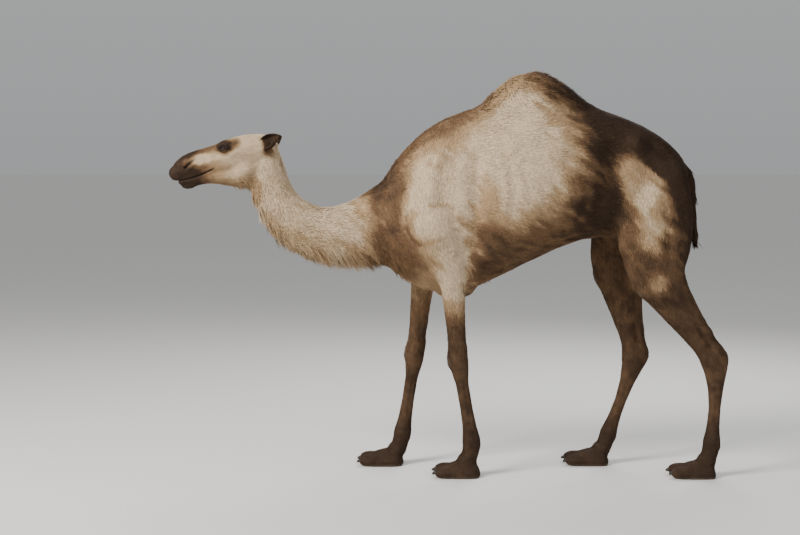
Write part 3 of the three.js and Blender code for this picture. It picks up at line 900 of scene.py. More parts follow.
@dataclass
class Build:
    """Bones and muscles of the body and legs that show under the skin."""

    body: Anatomy
    strength: float = 1.5

    def ribs(self, count: int = 8) -> list[tuple]:
        """The rows of the ribs that show, from the shoulder back."""
        rows = []
        for i in range(count):
            top, foot = 0.21 + 0.074 * i, 1.22 + 0.02 * i
            bow = [(top, 1.66 - 0.012 * i, 0.24), (top + 0.045, 1.45, 0.27), (top + 0.02, foot, 0.24)]
            rows.append((bow, 0.019, 0.006, 0.3))
        return rows

    def trunk(self) -> list[Form]:
        """The ridge before the hump, ribs, shoulders, flanks and hips."""
        ridge = [(0.09, 1.89, 0.0), (0.2, 1.93, 0.0), (0.29, 2.0, 0.0), (0.36, 2.04, 0.0)]
        point = self.body.side_point
        both = [*self.ribs(), *TRUNK_SIDES]
        return forms_at(point, [(ridge, 0.09, 0.007, 0.2)], (1,)) + forms_at(point, both)

    def place(self, leg: str, along: float, front: float, out: float) -> Place:
        """A place near a leg: along counts joints down the leg, front and out are metres from the bone."""
        joints = np.array(self.body.leg_joints()[leg])
        index = min(int(along), len(joints) - 2)
        start, end = joints[index], joints[index + 1]
        centre = start + (along - index) * (end - start)
        down = unit(end - start)
        ahead = unit(np.array([0.0, down[2], -down[1]]))
        side = SIDES[leg.partition("_")[2]]
        return tuple(centre + front * ahead + np.array([side * out, 0.0, 0.0]))

    def limb(self, leg: str) -> list[Form]:
        """Tendons, joints and pads of one leg, through places along, in front and out."""
        fade = 0.15
        both = [
            ([(3.22, -0.012, 0.036), (3.85, -0.012, 0.036)], 0.009, -0.005, fade),
            ([(3.98, 0.0, 0.046)], 0.02, 0.004),
            ([(4.1, -0.05, 0.02)], 0.012, 0.004),
        ]
        if leg.startswith("fore"):
            both += [
                ([(2.96, 0.015, 0.055)], 0.022, 0.005),
                ([(2.25, 0.0, 0.062), (2.75, -0.008, 0.05)], 0.013, -0.006, fade),
            ]
            single = [
                ([(2.93, 0.06, 0.0), (3.03, 0.06, 0.0)], 0.026, 0.006),
                ([(2.88, -0.055, 0.0)], 0.018, 0.006),
                ([(3.12, 0.055, 0.0)], 0.014, -0.004),
                ([(2.0, -0.1, 0.02)], 0.032, 0.012),
                ([(2.1, 0.02, 0.075), (2.5, 0.025, 0.056)], 0.02, 0.005, fade),
            ]
        else:
            both += [
                ([(2.55, -0.028, 0.048), (2.88, -0.03, 0.04)], 0.016, -0.013, fade),
                ([(2.98, 0.01, 0.044)], 0.02, 0.005),
            ]
            single = [
                ([(2.7, -0.075, 0.0), (2.95, -0.095, 0.0)], 0.012, 0.006),
                ([(2.02, 0.12, 0.03)], 0.04, 0.01),
                ([(0.7, -0.06, 0.1), (1.3, -0.05, 0.1), (1.9, -0.04, 0.085)], 0.022, -0.01, fade),
                ([(1.3, -0.14, 0.08), (1.95, -0.09, 0.07)], 0.02, -0.006, fade),
                ([(2.15, 0.04, 0.062), (2.5, 0.03, 0.052)], 0.02, -0.006, fade),
            ]
        at = partial(self.place, leg)
        return forms_at(at, both) + forms_at(at, single, (1,))

    def forms(self) -> list[Form]:
        """Everything under the body's skin, strong enough to show through the coat."""
        forms = self.trunk() + [form for leg in self.body.leg_joints() for form in self.limb(leg)]
        return [replace(form, height=self.strength * form.height) for form in forms]


# ---- skin
@dataclass
class Skin:
    """The one skin: fused from the flesh solids, shrunk by the coat's depth, refined and shaped."""

    body: Anatomy
    coarse: float = 0.018
    fine: float = 0.006
    swell: float = 0.003
    surface: Surface = field(init=False)

    def flesh(self, nodes: Nodes) -> list[Surface]:
        """The solids that the skin follows: all but ears and nails, with balls between the lips."""
        solids = [arrays_of(node) for name, node in nodes.items() if not name.startswith(("ear_", "nail_"))]
        places = [(forward, side) for forward in np.linspace(0.4, 0.497, 7) for side in SIDES.values()]
        lips = [ball(self.body.at(forward, -0.03, 0.016 * side), 0.0255) for forward, side in places]
        return solids + lips

    def slender_area(self, points: Array) -> Array:
        """Whether each point is on the head, a lower leg, a foot or the tail."""
        label = nearest_regions(self.body, points)
        return self.face_area(points) | belongs(label, Region.LOWER_LEG, Region.FOOT, Region.TAIL)

    def face_area(self, points: Array) -> Array:
        """Whether each point is on the head, in front of the nape and the throat."""
        forward, up, _ = self.body.head_axes(points)
        return (forward > -0.03) & (up > -0.19) & (up < 0.17) & (forward + 0.55 * up > 0.0)

    def muzzle_area(self, points: Array) -> Array:
        """Whether each point is by the nostrils, the lips or an eye."""
        forward, up, _ = self.body.head_axes(points)
        lips = (forward > 0.31) & (np.abs(up + 0.024) < 0.02)
        nose = (forward > 0.44) & (up > 0.0) & (up < 0.1)
        return ((lips | nose | (forward > 0.535)) & (up > -0.19)) | self.eye_area(points, 0.042)

    def eye_area(self, points: Array, reach: float) -> Array:
        """Whether each point is close to an eye."""
        return distance(points, self.body.eyes.values()) < reach

    def wrap(self, nodes: Nodes) -> None:
        """Fuses the solids, with small faces on head, lower legs and tail and the smallest by the lips."""
        flesh = self.flesh(nodes)
        target = fused(flesh, self.fine, self.swell)
        target.relax(26, np.where(self.face_area(target.points), 0.35, 1.0))
        surface = fused(flesh, self.coarse, 2 * self.swell)
        surface.relax(4)
        for area in (self.slender_area, self.face_area, self.muzzle_area):
            surface.refine(area(surface.points))
            surface = wrapped(surface, target)
            surface.relax(3, 0.6, keep_volume=False)
        self.surface = wrapped(surface, target)

    def sink(self) -> None:
        """Smooths the broad parts and draws the skin in by the depth of the coat."""
        surface = self.surface
        label = nearest_regions(self.body, surface.points)
        broad = belongs(label, Region.TRUNK, Region.HUMP, Region.NECK, Region.UPPER_LEG)
        strength = np.where(broad & ~self.face_area(surface.points), 1.0, 0.12)
        surface.relax(26, spread(surface, strength, 6))
        depths = np.array([HAIR[region].depth for region in Region])
        depth = spread(surface, self.swell + depths[nearest_regions(self.body, surface.points)], 12)
        surface.points -= depth[:, None] * surface.normals()
        surface.relax(3, 0.6)

    def raise_forms(self, forms: list[Form]) -> None:
        """Lifts the skin over each form along its normals."""
        height = np.sum([form.lift(self.surface.points) for form in forms], axis=0)
        self.surface.points += height[:, None] * self.surface.normals()

    def shape_face(self) -> None:
        """Gives the head its bones, its mouth and its lids."""
        surface, face = self.surface, Face(self.body)
        self.raise_forms(face.forms())
        surface.points += face.mouth(surface.points, surface.normals())
        surface.refine(self.eye_area(surface.points, 0.032))
        surface.points = face.lids(surface.points)
        surface.relax(1, 0.4)

    def join_ears(self) -> None:
        """Unites skin and ears, and smooths the ears' roots and the tip of the lips."""
        ears = ears_of(self.body)
        self.surface = united(self.surface, [ear.surface() for ear in ears])
        roots = [ear.root() for ear in ears] + [self.body.at(0.505, -0.032)]
        away = distance(self.surface.points, roots)
        self.surface.relax(6, 0.8 * ramp(0.045, 0.022, away))

    def flatten_soles(self) -> None:
        """Sets the feet down on the floor, with flat soles."""
        height = self.surface.points[:, 2]
        height = height - height.min() * ramp(0.03, 0.0, height)
        self.surface.points[:, 2] = np.where(height < 0.0025, 0.0, height)

    def build(self, nodes: Nodes) -> None:
        """Makes the skin's surface.

        Args:
            nodes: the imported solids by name.
        """
        self.wrap(nodes)
        self.sink()
        self.raise_forms(Build(self.body).forms())
        self.shape_face()
        self.join_ears()
        self.flatten_soles()
        log.info("skin: %d faces", len(self.surface.faces))


def nearest_regions(body: Anatomy, points: Array) -> Array:
    """The number of the region that each point belongs to."""
    nearest = np.full(len(points), np.inf)
    label = np.zeros(len(points), int)
    for region, stretch in body.stretches():
        away, _ = stretch.near(points)
        closer = away < nearest
        nearest[closer], label[closer] = away[closer], region.value
    return label


def belongs(label: Array, *regions: Region) -> Array:
    """Whether each number is that of one of the regions."""
    return np.isin(label, [region.value for region in regions])


# ---- markings, painted light and painted shade
@dataclass
class MarkingsAndPaintedLight:
    """The colours of hair and bare skin over the whole body, the same for the skin and the coat.

    They hold the coat's own markings and painted light and shade: pale where light falls, darker where shade
    falls.
    """

    body: Anatomy
    sand: Colour = (0.4, 0.265, 0.145)
    pale: Colour = (0.64, 0.49, 0.325)
    brown: Colour = (0.165, 0.095, 0.05)
    dark: Colour = (0.05, 0.03, 0.019)
    horny: Colour = (0.115, 0.08, 0.056)
    rim: Colour = (0.03, 0.02, 0.015)

    def patch(self, points: Array, place: Place, reach: Place) -> Array:
        """A soft oval patch on both flanks: 1 in its middle, 0 outside its reach along x, y and z."""
        x, y, z = self.body.side_point(place[1], place[2], place[0])
        offset = np.stack([np.abs(points[:, 0]) - x, points[:, 1] - y, points[:, 2] - z], axis=1)
        return ramp(1.0, 0.35, np.linalg.norm(offset / np.array(reach), axis=1))

    def darkness(self, points: Array) -> Array:
        """How dark the hair is, from -1 for the palest over 0 for plain sand to 1 and more for the darkest.

        Much of it is painted light and shade: pale where light falls on the shoulder, forearm, ribs, hump,
        thigh and neck, and painted shade on the belly, behind the hump, on rump and buttock, under the neck
        and on the lower jaw. The darker back line, muzzle, ears and tail are the coat's own colour, and the
        legs are the coat's own darker colour deepened by painted shade. Most edges wander: they are read at
        places shifted by noise, with streaks combed along the hair.
        """
        combed = points @ np.array([[1.0, 0.0, 0.0], [0.0, 0.17, 0.6], [0.0, -0.13, 0.8]])
        streaks = wobble(combed, 0.024, 4)
        wander = 0.035 * wobble(points, 0.15, 3)
        place = points + np.stack([np.zeros(len(points)), wander + 0.035 * streaks, 0.7 * wander], axis=1)
        y, z = place[:, 1] - self.body.shift, place[:, 2]
        far_side = ramp(0.03, -0.12, points[:, 0])
        y += 0.06 * far_side * ramp(0.75, 0.95, y)
        below = self.below_back(y, z)
        # painted shade on the belly
        belly = self.belly(y, z)
        legs = ramp(0.0, 0.26, np.interp(y, [0.3, 0.7], [1.0, 1.24]) - points[:, 2])
        # the back's darker line and its painted shade, the belly's painted shade, darker legs (partly painted
        # shade) and darker hair towards the ground
        value = 0.14 + self.back(y, z, below) + 0.8 * belly
        value = value + (0.95 - 0.8 * belly) * legs + 0.25 * ramp(0.36, 0.14, points[:, 2])
        # patches of painted light and painted shade on both flanks
        for darker, centre, reach in self.light_and_shade_patches():
            value += darker * self.patch(place, centre, reach)
        # a ring of painted shade around the point of the shoulder
        value += (0.58 + 0.3 * streaks) * self.shoulder_ring(place) * (np.abs(points[:, 0]) > 0.12)
        # the neck: pale painted light on its side, painted shade under it and along its nape
        value += self.neck(y, z, below)
        value += self.tail(points)
        head = self.on_head(points)
        value = value * (1.0 - head) + head * self.head_darkness(points)
        value += 0.24 * streaks * (1.0 - head) * (1.0 - 0.85 * legs)
        for cell, seed in ((0.06, 5), (0.02, 9)):
            value += 0.12 * wobble(points, cell, seed)
        return value

    def below_back(self, y: Array, z: Array) -> Array:
        """How far places lie below the line of the back, given along and up in the drawing axes."""
        along = [-0.9, -0.45, -0.2, 0.1, 0.3, 0.44, 0.6, 0.75, 1.0, 1.2]
        line = [1.36, 1.45, 1.72, 1.87, 2.02, 2.06, 1.98, 1.88, 1.78, 1.58]
        return np.interp(y, along, line) - z

    def back(self, y: Array, z: Array, below: Array) -> Array:
        """How much darker the back is: the coat's darker line all along it, and painted shade broadly behind
        the hump, on the rump and on the buttock.
        """
        trunk = ramp(-0.5, -0.3, y) * ramp(0.95, 1.15, z)
        along = 0.6 * ramp(0.12, 0.02, below)
        # painted shade behind the hump, on the rump and on the buttock
        behind = 0.95 * ramp(0.42, 0.05, below) * ramp(0.4, 0.64, y)
        rump = 0.5 * ramp(0.56, 0.82, y) * ramp(1.2, 1.5, z)
        buttock = 0.6 * ramp(1.12, 1.22, y)
        return trunk * (along + behind + (rump + buttock))

    def belly(self, y: Array, z: Array) -> Array:
        """1 on the painted shade of the belly and 0 above its edge, which rises towards the thigh."""
        above = z - np.interp(y, [0.0, 0.8], [1.32, 1.52])
        return ramp(-0.02, 0.2, y) * ramp(0.1, -0.2, above) * ramp(0.8, 0.9, z)

    def shoulder_ring(self, place: Array) -> Array:
        """1 on an oval line around the point of the shoulder, fading to both sides: painted shade that
        outlines its muscle.
        """
        y, z = place[:, 1] - self.body.shift, place[:, 2]
        radii_away = np.hypot((y + 0.086) / 0.115, (z - 1.306) / 0.088)
        return bell(radii_away - 1.0, 0.16)

    def neck(self, y: Array, z: Array, below: Array) -> Array:
        """How much darker the neck is: pale where light falls on its side, with painted shade under it and
        along its nape.
        """
        neck = (1.0 - ramp(-0.55, -0.38, y)) * ramp(1.0, 1.08, z)
        # painted shade under the neck and along its nape
        under = ramp(0.14, 0.0, z - np.interp(y, [-0.9, -0.6, -0.35], [1.28, 1.12, 1.12]))
        over = ramp(0.06, 0.0, below) * ramp(-0.85, -0.6, y)
        return neck * (-0.74 + 0.45 * under + 0.5 * over)

    def tail(self, points: Array) -> Array:
        """How much darker the tail is, more so towards its end."""
        x, y, z = points[:, 0], points[:, 1] - self.body.shift, points[:, 2]
        tail = ramp(1.185, 1.215, y) * ramp(1.62, 1.5, z) * ramp(0.075, 0.055, np.abs(x))
        return tail * (0.35 + 0.6 * ramp(1.45, 1.22, z))

    def light_and_shade_patches(self) -> list[tuple[float, Place, Place]]:
        """Soft patches on both flanks: how much darker each is, its middle (out, along, up) and its reach.

        The pale ones are painted light where light falls, the darker ones painted shade.
        """
        return [
            (-1.0, (0.24, -0.07, 1.43), (0.5, 0.25, 0.36)),  # painted light on the shoulder
            (-0.95, (0.2, -0.01, 1.06), (0.4, 0.11, 0.3)),  # painted light on the forearm
            (-0.9, (0.28, 0.31, 1.61), (0.6, 0.37, 0.46)),  # painted light on the ribs
            (-0.7, (0.1, 0.33, 1.93), (0.4, 0.17, 0.18)),  # painted light on the front of the hump
            (-1.25, (0.2, 0.91, 1.5), (0.45, 0.13, 0.22)),  # painted light on the top of the thigh
            (-1.35, (0.2, 0.99, 1.33), (0.45, 0.13, 0.22)),  # painted light on the middle of the thigh
            (-0.8, (0.18, 1.02, 1.0), (0.3, 0.09, 0.07)),  # painted highlight on the gaskin
            (0.32, (0.26, 0.17, 1.26), (0.5, 0.15, 0.3)),  # painted shade behind the elbow
            (0.42, (0.2, -0.33, 1.54), (0.5, 0.16, 0.28)),  # painted shade before the withers
            (0.42, (0.15, -0.38, 1.36), (0.5, 0.2, 0.26)),  # painted shade at the root of the neck
            (0.65, (0.15, -0.27, 1.15), (0.5, 0.24, 0.22)),  # painted shade on the breast
            (0.5, (0.22, 0.7, 1.45), (0.4, 0.17, 0.36)),  # painted shade on the flank before the thigh
            (0.4, (0.24, -0.03, 1.57), (0.5, 0.1, 0.12)),  # painted shade above the shoulder
            (0.4, (0.26, 0.14, 1.46), (0.5, 0.14, 0.11)),  # painted shade behind the shoulder
        ]

    def on_head(self, points: Array) -> Array:
        """1 on the head and 0 on the neck and body."""
        forward, up, _ = self.body.head_axes(points)
        before_neck = ramp(-0.1, 0.02, forward + 0.55 * up)
        return before_neck * ramp(-0.24, -0.19, up) * ramp(-0.2, -0.1, forward)

    def head_darkness(self, points: Array) -> Array:
        """How dark the head is: a dark muzzle, eye patch and ears, pale cheeks and brow, and painted shade
        under the cheek and along the lower jaw.
        """
        forward, up, out = self.body.head_axes(points)
        out = np.abs(out)
        forward += 0.014 * wobble(points, 0.03, 6)
        up += 0.008 * wobble(points, 0.025, 10)

        def away(middle: Pair, reach: Pair = (1.0, 1.0)) -> Array:
            """The distance from a place, forward and up, in shares of a reach along both axes."""
            return np.hypot((forward - middle[0]) / reach[0], (up - middle[1]) / reach[1])

        muzzle = 1.75 * ramp(0.33, 0.49, forward)
        lips = 0.45 * ramp(0.46, 0.53, forward)
        bridge = 1.3 * ramp(0.14, 0.29, forward) * ramp(0.058, 0.092, up)
        # painted shade under the cheek
        shade_under_cheek = 0.9 * ramp(0.22, 0.36, forward) * ramp(0.036, -0.006, up)
        pale_nose = -1.1 * ramp(1.25, 0.55, away((0.38, 0.05), (0.052, 0.024))) * (out > 0.02)
        eye_patch = 0.95 * ramp(1.15, 0.45, away((0.228, 0.078), (0.072, 0.036)))
        eye_rim = 0.9 * ramp(0.05, 0.028, distance(points, self.body.eyes.values()))
        # painted shade along the lower edge of the jaw
        shade_under_jaw = 0.65 * ramp(-0.065, -0.125, up) * ramp(0.08, 0.16, forward)
        from_ear = away((0.03, 0.004)) + 0.006 * wobble(points, 0.012, 14)
        ear_root = 1.15 * ramp(0.036, 0.016, from_ear) * (out > 0.03)
        ears = 1.95 * self.on_ears(points)
        face = -0.55 + muzzle + lips + bridge + shade_under_cheek + pale_nose + eye_patch + eye_rim + shade_under_jaw
        return face + ear_root + ears

    def on_ears(self, points: Array) -> Array:
        """1 on the ears and 0 elsewhere, with a soft edge at their roots."""
        return np.max([ear.holds(points) for ear in ears_of(self.body)], axis=0)

    def bare(self, points: Array) -> Array:
        """Where the skin is bare and horny: the pads of chest, knees and stifles, and the soles."""
        share = ramp(0.016, 0.006, points[:, 2])
        ragged = 0.01 * wobble(points, 0.02, 7)
        for centre, reach in self.pads():
            away = distance(points, [centre]) + ragged
            share = np.maximum(share, 0.85 * ramp(reach, 0.45 * reach, away))
        return share

    def pads(self) -> list[tuple[Array, float]]:
        """The middle and the reach of each bare horny pad."""
        build = Build(self.body)
        pads = [(self.body.side_point(0.02, 0.9), 0.115)]
        for leg in self.body.leg_joints():
            if leg.startswith("fore"):
                pads.append((build.place(leg, 2.99, 0.075, 0.0), 0.052))
            else:
                pads.append((build.place(leg, 2.02, 0.165, 0.02), 0.058))
        return [(np.array(centre), reach) for centre, reach in pads]

    def colours(self, points: Array) -> Array:
        """The colours of the hair rooted at some places.

        Args:
            points: N x 3 places.

        Returns:
            N x 3 linear colours.
        """
        value = self.darkness(points)
        face = Face(self.body)
        moist = [face.rim(points), 0.9 * face.nostril(points), 0.85 * face.lips(points)]
        layers = (
            (self.pale, ramp(0.0, -0.7, value)),
            (self.brown, ramp(0.05, 0.75, value)),
            (self.dark, ramp(0.75, 1.35, value)),
            (self.horny, self.bare(points)),
            (self.rim, np.max(moist, axis=0)),
        )
        colour = np.array(self.sand)
        for tone, share in layers:
            colour = colour + (np.array(tone) - colour) * share[:, None]
        return colour


# ---- coat
@dataclass(frozen=True)
class Lock:
    """How long locks hang: sizes in metres, droop and curl as the strength of the turn down and sideways.

    Each lock has a number of strands, whose roots are scattered by the spread.
    """

    length: float
    width: float
    lift: float
    droop: float
    curl: float
    spacing: float
    strands: int = 5
    spread: float = 0.0035


@dataclass
class Roots:
    """Where hairs are rooted, and how each grows. stretch is the number of its stretch of the body."""

    points: Array
    normals: Array
    lie: Array
    length: Array
    width: Array
    lift: Array
    stretch: Array

    def chosen(self, keep: Array) -> "Roots":
        """Only the roots that are kept."""
        return Roots(*(values[keep] for values in vars(self).values()))

    def repeated(self, times: int) -> "Roots":
        """Each root several times over."""
        return Roots(*(np.repeat(values, times, axis=0) for values in vars(self).values()))

    @staticmethod
    def joined(groups: list["Roots"]) -> "Roots":
        """All roots of several groups."""
        return Roots(*(np.concatenate(values) for values in zip(*(vars(group).values() for group in groups))))


@dataclass(frozen=True)
class Strip:
    """A strip of the map of the skin, with the numbers of the stretches that are laid end to end in it."""

    chain: tuple[int, ...]
    left: float
    low: float
    wide: float
    high: float


@dataclass
class Coat:
    """Solid tufts over the skin: short ones everywhere, long locks where the hair grows long.

    waist is the place along the body between forelegs and hind legs, in the drawing axes.
    """

    body: Anatomy
    skin: Surface
    markings: MarkingsAndPaintedLight
    seed: int = 7
    waist: float = 0.4

    def __post_init__(self) -> None:
        """Sets up the random numbers and the parts of the body."""
        self.random = np.random.default_rng(self.seed)
        self.stretches = self.body.stretches()

    def weights(self, points: Array, least: float = 0.05, power: float = 7.0) -> Array:
        """How much each stretch of the body counts at each point, N x S, each row adding up to 1.

        It counts less with the power of the distance, from the least distance on, both in body radii.
        """
        away = np.stack([stretch.near(points)[0] for _, stretch in self.stretches], axis=1)
        near = np.maximum(away, least) ** -power
        return near / near.sum(axis=1, keepdims=True)

    def scattered(self, spacing: float, density: Array) -> tuple[Array, Array]:
        """Random places on the skin.

        Args:
            spacing: the mean distance between them where the density is 1.
            density: for each point of the skin, the share of places that are kept.

        Returns:
            The places and the skin's normals there.
        """
        skin = self.skin
        area = np.linalg.norm(skin.face_vectors(), axis=1) / 2.0
        chance = area * density[skin.faces].mean(axis=1) / spacing**2
        count = np.floor(chance + self.random.uniform(size=len(chance))).astype(int)
        face = np.repeat(np.arange(len(count)), count)
        mix = self.random.uniform(size=(len(face), 2))
        root = np.sqrt(mix[:, :1])
        share = np.concatenate([1.0 - root, root * (1.0 - mix[:, 1:]), root * mix[:, 1:]], axis=1)
        share = share[:, :, None]
        corners = skin.faces[face]
        points = (skin.points[corners] * share).sum(axis=1)
        normals = unit((skin.normals()[corners] * share).sum(axis=1))
        return points, normals

    def roots(self, points: Array, normals: Array) -> Roots:
        """Everything about hairs rooted at some places: lie, length, width and lift."""
        count = len(points)
        weights = self.weights(points)
        hairs = [HAIR[region] for region, _ in self.stretches]
        lie = weights @ unit(np.array([stretch.lie for _, stretch in self.stretches]))
        length, width, lift = (weights @ np.array([(hair.length, hair.width, hair.lift) for hair in hairs])).T
        on_ear = self.markings.on_ears(points) > 0.5
        lie = np.where(on_ear[:, None], self.ear_lie(points), lie)
        on_head = self.markings.on_head(points)
        muzzle = ramp(0.33, 0.5, self.body.head_axes(points)[0])
        length *= 1.0 - 0.45 * muzzle * on_head
        width *= 1.0 - 0.25 * muzzle * on_head
        swirl = 0.3 * wobble(points, 0.09, 11) + 0.22 * wobble(points, 0.03, 12)
        side = unit(np.cross(normals, lie))
        lie += side * (swirl + self.random.normal(0.0, 0.1, count))[:, None]
        lie = unit(lie - (lie * normals).sum(axis=1, keepdims=True) * normals)
        length *= self.random.uniform(0.72, 1.22, count)
        width *= self.random.uniform(0.75, 1.2, count)
        lift = lift * (1.0 + 0.5 * wobble(points, 0.045, 13)) * self.random.uniform(0.6, 1.4, count)
        return Roots(points, normals, lie, length, width, lift, weights.argmax(axis=1))

    def ear_lie(self, points: Array) -> Array:
        """The direction from an ear's root to its tip, for points on either ear."""
        left, right = (ear.axes()[:, 2] for ear in ears_of(self.body))
        return np.where(points[:, :1] > 0.0, left, right)

    def density(self) -> Array:
        """How thickly hair grows at each point: not at all on pads, lips, nostrils and lid rims."""
        points = self.skin.points
        face = Face(self.body)
        bare = (self.markings.bare(points), face.lips(points), face.nostril(points), face.rim(points))
        return 1.0 - np.max(bare, axis=0)

    def short_tufts(self) -> dict[str, Roots]:
        """Roots of the short hair, by coat piece."""
        density = self.density()
        weights = self.weights(self.skin.points)
        spacing = weights @ np.array([HAIR[region].spacing for region, _ in self.stretches])
        spacing = np.where(self.markings.on_ears(self.skin.points) > 0.5, HAIR[Region.EAR].spacing, spacing)
        finest = spacing.min()
        points, normals = self.scattered(finest, density * (finest / spacing) ** 2)
        roots = self.roots(points, normals)
        label = np.array([region.value for region, _ in self.stretches])[roots.stretch]
        sides = {"left": points[:, 0] > 0.0, "right": points[:, 0] <= 0.0}
        front = points[:, 1] - self.body.shift < self.waist
        legs = belongs(label, Region.UPPER_LEG, Region.LOWER_LEG, Region.FOOT)
        groups = {"head": belongs(label, Region.HEAD), "neck": belongs(label, Region.NECK)}
        groups |= {f"trunk_{name}": belongs(label, Region.TRUNK) & side for name, side in sides.items()}
        groups["hump"] = belongs(label, Region.HUMP, Region.TAIL)
        for end, part in (("fore", legs & front), ("hind", legs & ~front)):
            groups |= {f"{end}leg_{name}": part & side for name, side in sides.items()}
        return {f"coat_{name}": roots.chosen(group) for name, group in groups.items()}

    def tuft_mesh(self, name: str, roots: Roots) -> Piece:
        """A closed tuft of six faces at each root: the root's point, a flat ring of three, and the tip."""
        count = len(roots.points)
        side = unit(np.cross(roots.normals, roots.lie))
        length, width, lift = (values[:, None] for values in (roots.length, roots.width, roots.lift))
        sway = self.random.normal(0.0, 0.1, count)[:, None] * length * side
        laid = Surface(roots.points + roots.lie * length + sway, np.empty((0, 3), int))
        tip = wrapped(laid, self.skin).points + (0.0006 + lift * length) * roots.normals
        widest = 0.4
        middle = roots.points + widest * (tip - roots.points)
        middle += (0.0004 + 0.1 * lift * length) * roots.normals
        ridge = middle + 0.28 * width * roots.normals
        base = roots.points - 0.0012 * roots.normals
        half = 0.5 * width * side
        points = np.stack([base, middle - half, ridge, middle + half, tip], axis=1)
        pattern = np.array([[0, 2, 1], [0, 3, 2], [0, 1, 3], [4, 1, 2], [4, 2, 3], [4, 3, 1]])
        along = np.tile([0.0, widest, 0.45, widest, 1.0], (count, 1))
        return self.hair_piece(name, roots, points, pattern, along)

    def strand_mesh(self, name: str, roots: Roots, lock: Lock, rings: int = 3) -> Piece:
        """Closed strands in locks: those of a lock start around its root, bend alike and draw together.

        Args:
            name: the piece's name.
            roots: one root for each lock.
            lock: how the locks hang.
            rings: how many rings of three points are between root and tip.

        Returns:
            The piece.
        """
        phase = self.random.uniform(0.0, 2.0 * np.pi, len(roots.points))
        phase = np.repeat(phase, lock.strands)[:, None]
        roots = roots.repeated(lock.strands)
        count = len(roots.points)
        side = unit(np.cross(roots.normals, roots.lie))
        length = roots.length[:, None] * self.random.uniform(0.72, 1.12, (count, 1))
        width = roots.width[:, None] * self.random.uniform(0.7, 1.2, (count, 1))
        shift = self.random.normal(0.0, lock.spread, (count, 2))
        shift = shift[:, :1] * side + shift[:, 1:] * roots.lie
        down = np.array([0.0, 0.0, -1.0])
        stray = self.random.normal(0.0, 0.16, (count, 3))
        path = [roots.points + shift - 0.003 * roots.normals]
        headings = []
        steps = rings + 1
        for i in range(steps):
            share = (i + 0.5) / steps
            heading = roots.lie * (1.0 - 0.3 * share) + roots.normals * (roots.lift[:, None] * (1.0 - share))
            swing = side * lock.curl * np.sin(phase + 5.0 * share)
            heading = unit(heading + down * lock.droop * share * 1.6 + swing + stray * share)
            headings.append(heading)
            path.append(path[-1] + heading * length / steps - 0.7 * shift / steps)
        corners = [path[0][:, None]]
        along = [np.zeros((count, 1))]
        for i in range(1, steps):
            share = i / steps
            across = unit(np.cross(roots.normals, headings[i]))
            above = unit(np.cross(headings[i], across))
            half = 0.5 * width * (1.0 - share) ** 0.7
            ring = [path[i] - half * across, path[i] + 0.9 * half * above, path[i] + half * across]
            corners.append(np.stack(ring, axis=1))
            along.append(np.full((count, 3), share))
        corners.append(path[-1][:, None])
        along.append(np.ones((count, 1)))
        points = np.concatenate(corners, axis=1)
        return self.hair_piece(name, roots, points, self.strand_faces(rings), np.concatenate(along, axis=1))

    @staticmethod
    def strand_faces(rings: int) -> Array:
        """The faces of one strand: the root's point, rings of three points, and the tip."""
        sides = ((1, 2), (2, 3), (3, 1))
        faces = [[0, b, a] for a, b in sides]
        for low in range(0, 3 * (rings - 1), 3):
            high = low + 3
            for a, b in sides:
                faces += [[low + a, low + b, high + b], [low + a, high + b, high + a]]
        top, tip = 3 * (rings - 1), 3 * rings + 1
        return np.array(faces + [[tip, top + a, top + b] for a, b in sides])

    def locks(self, lock: Lock, density: Array) -> Roots:
        """The roots of long locks where the density is above 0."""
        points, normals = self.scattered(lock.spacing, density * self.density())
        roots = self.roots(points, normals)
        scatter = self.random.uniform(0.7, 1.25, len(points))
        scale = 1.0 + 0.25 * wobble(points, 0.05, 17)
        roots.length = lock.length * scatter * scale
        roots.width = np.full(len(points), lock.width)
        roots.lift = lock.lift * self.random.uniform(0.6, 1.3, len(points))
        return roots

    def long_places(self) -> dict[str, tuple[Lock, Array]]:
        """Where the hair grows long: how it hangs, and a share for each point of the skin, by coat piece."""
        points, normals = self.skin.points, self.skin.normals()
        y, z = points[:, 1] - self.body.shift, points[:, 2]
        middle = np.abs(points[:, 0])
        label = nearest_regions(self.body, points)
        forward, up, _ = self.body.head_axes(points)
        neck = belongs(label, Region.NECK)
        trunk = belongs(label, Region.TRUNK, Region.HUMP)
        tail = belongs(label, Region.TAIL)
        off_ears = self.markings.on_ears(points) < 0.05

        crest = trunk * ramp(1.86, 1.96, z + 0.03 * wobble(points, 0.05, 31))

        upward = ramp(0.35, 0.85, normals[:, 2])
        ridge = trunk * upward * ramp(0.1, 0.04, middle)
        ridge = ridge * ramp(-0.45, -0.3, y) * ramp(1.84, 1.8, z)
        nape = neck * ramp(0.06, 0.025, middle) * ramp(0.2, 0.6, normals[:, 1] + normals[:, 2])
        crown = ramp(0.09, 0.02, np.abs(forward)) * (up > 0.03) * ramp(0.05, 0.025, middle)
        crown = crown * off_ears * (up < 0.1)

        under = neck * ramp(0.25, 0.75, -normals[:, 2] - 0.55 * normals[:, 1])
        throat = ramp(0.3, 0.18, forward) * (forward > -0.12) * ramp(-0.07, -0.11, up)
        throat *= up > -0.24
        chest = belongs(label, Region.NECK, Region.TRUNK) * ramp(-0.2, -0.3, y)
        chest *= ramp(-0.55, -0.42, y)
        chest *= ramp(0.2, 0.7, -normals[:, 2] + 0.4 * np.abs(normals[:, 0]))
        build = Build(self.body)
        elbows = [np.array(build.place(leg, 2.05, -0.1, 0.0)) for leg in ("foreleg_left", "foreleg_right")]
        elbow = 0.8 * bell(distance(points, elbows), 0.075)

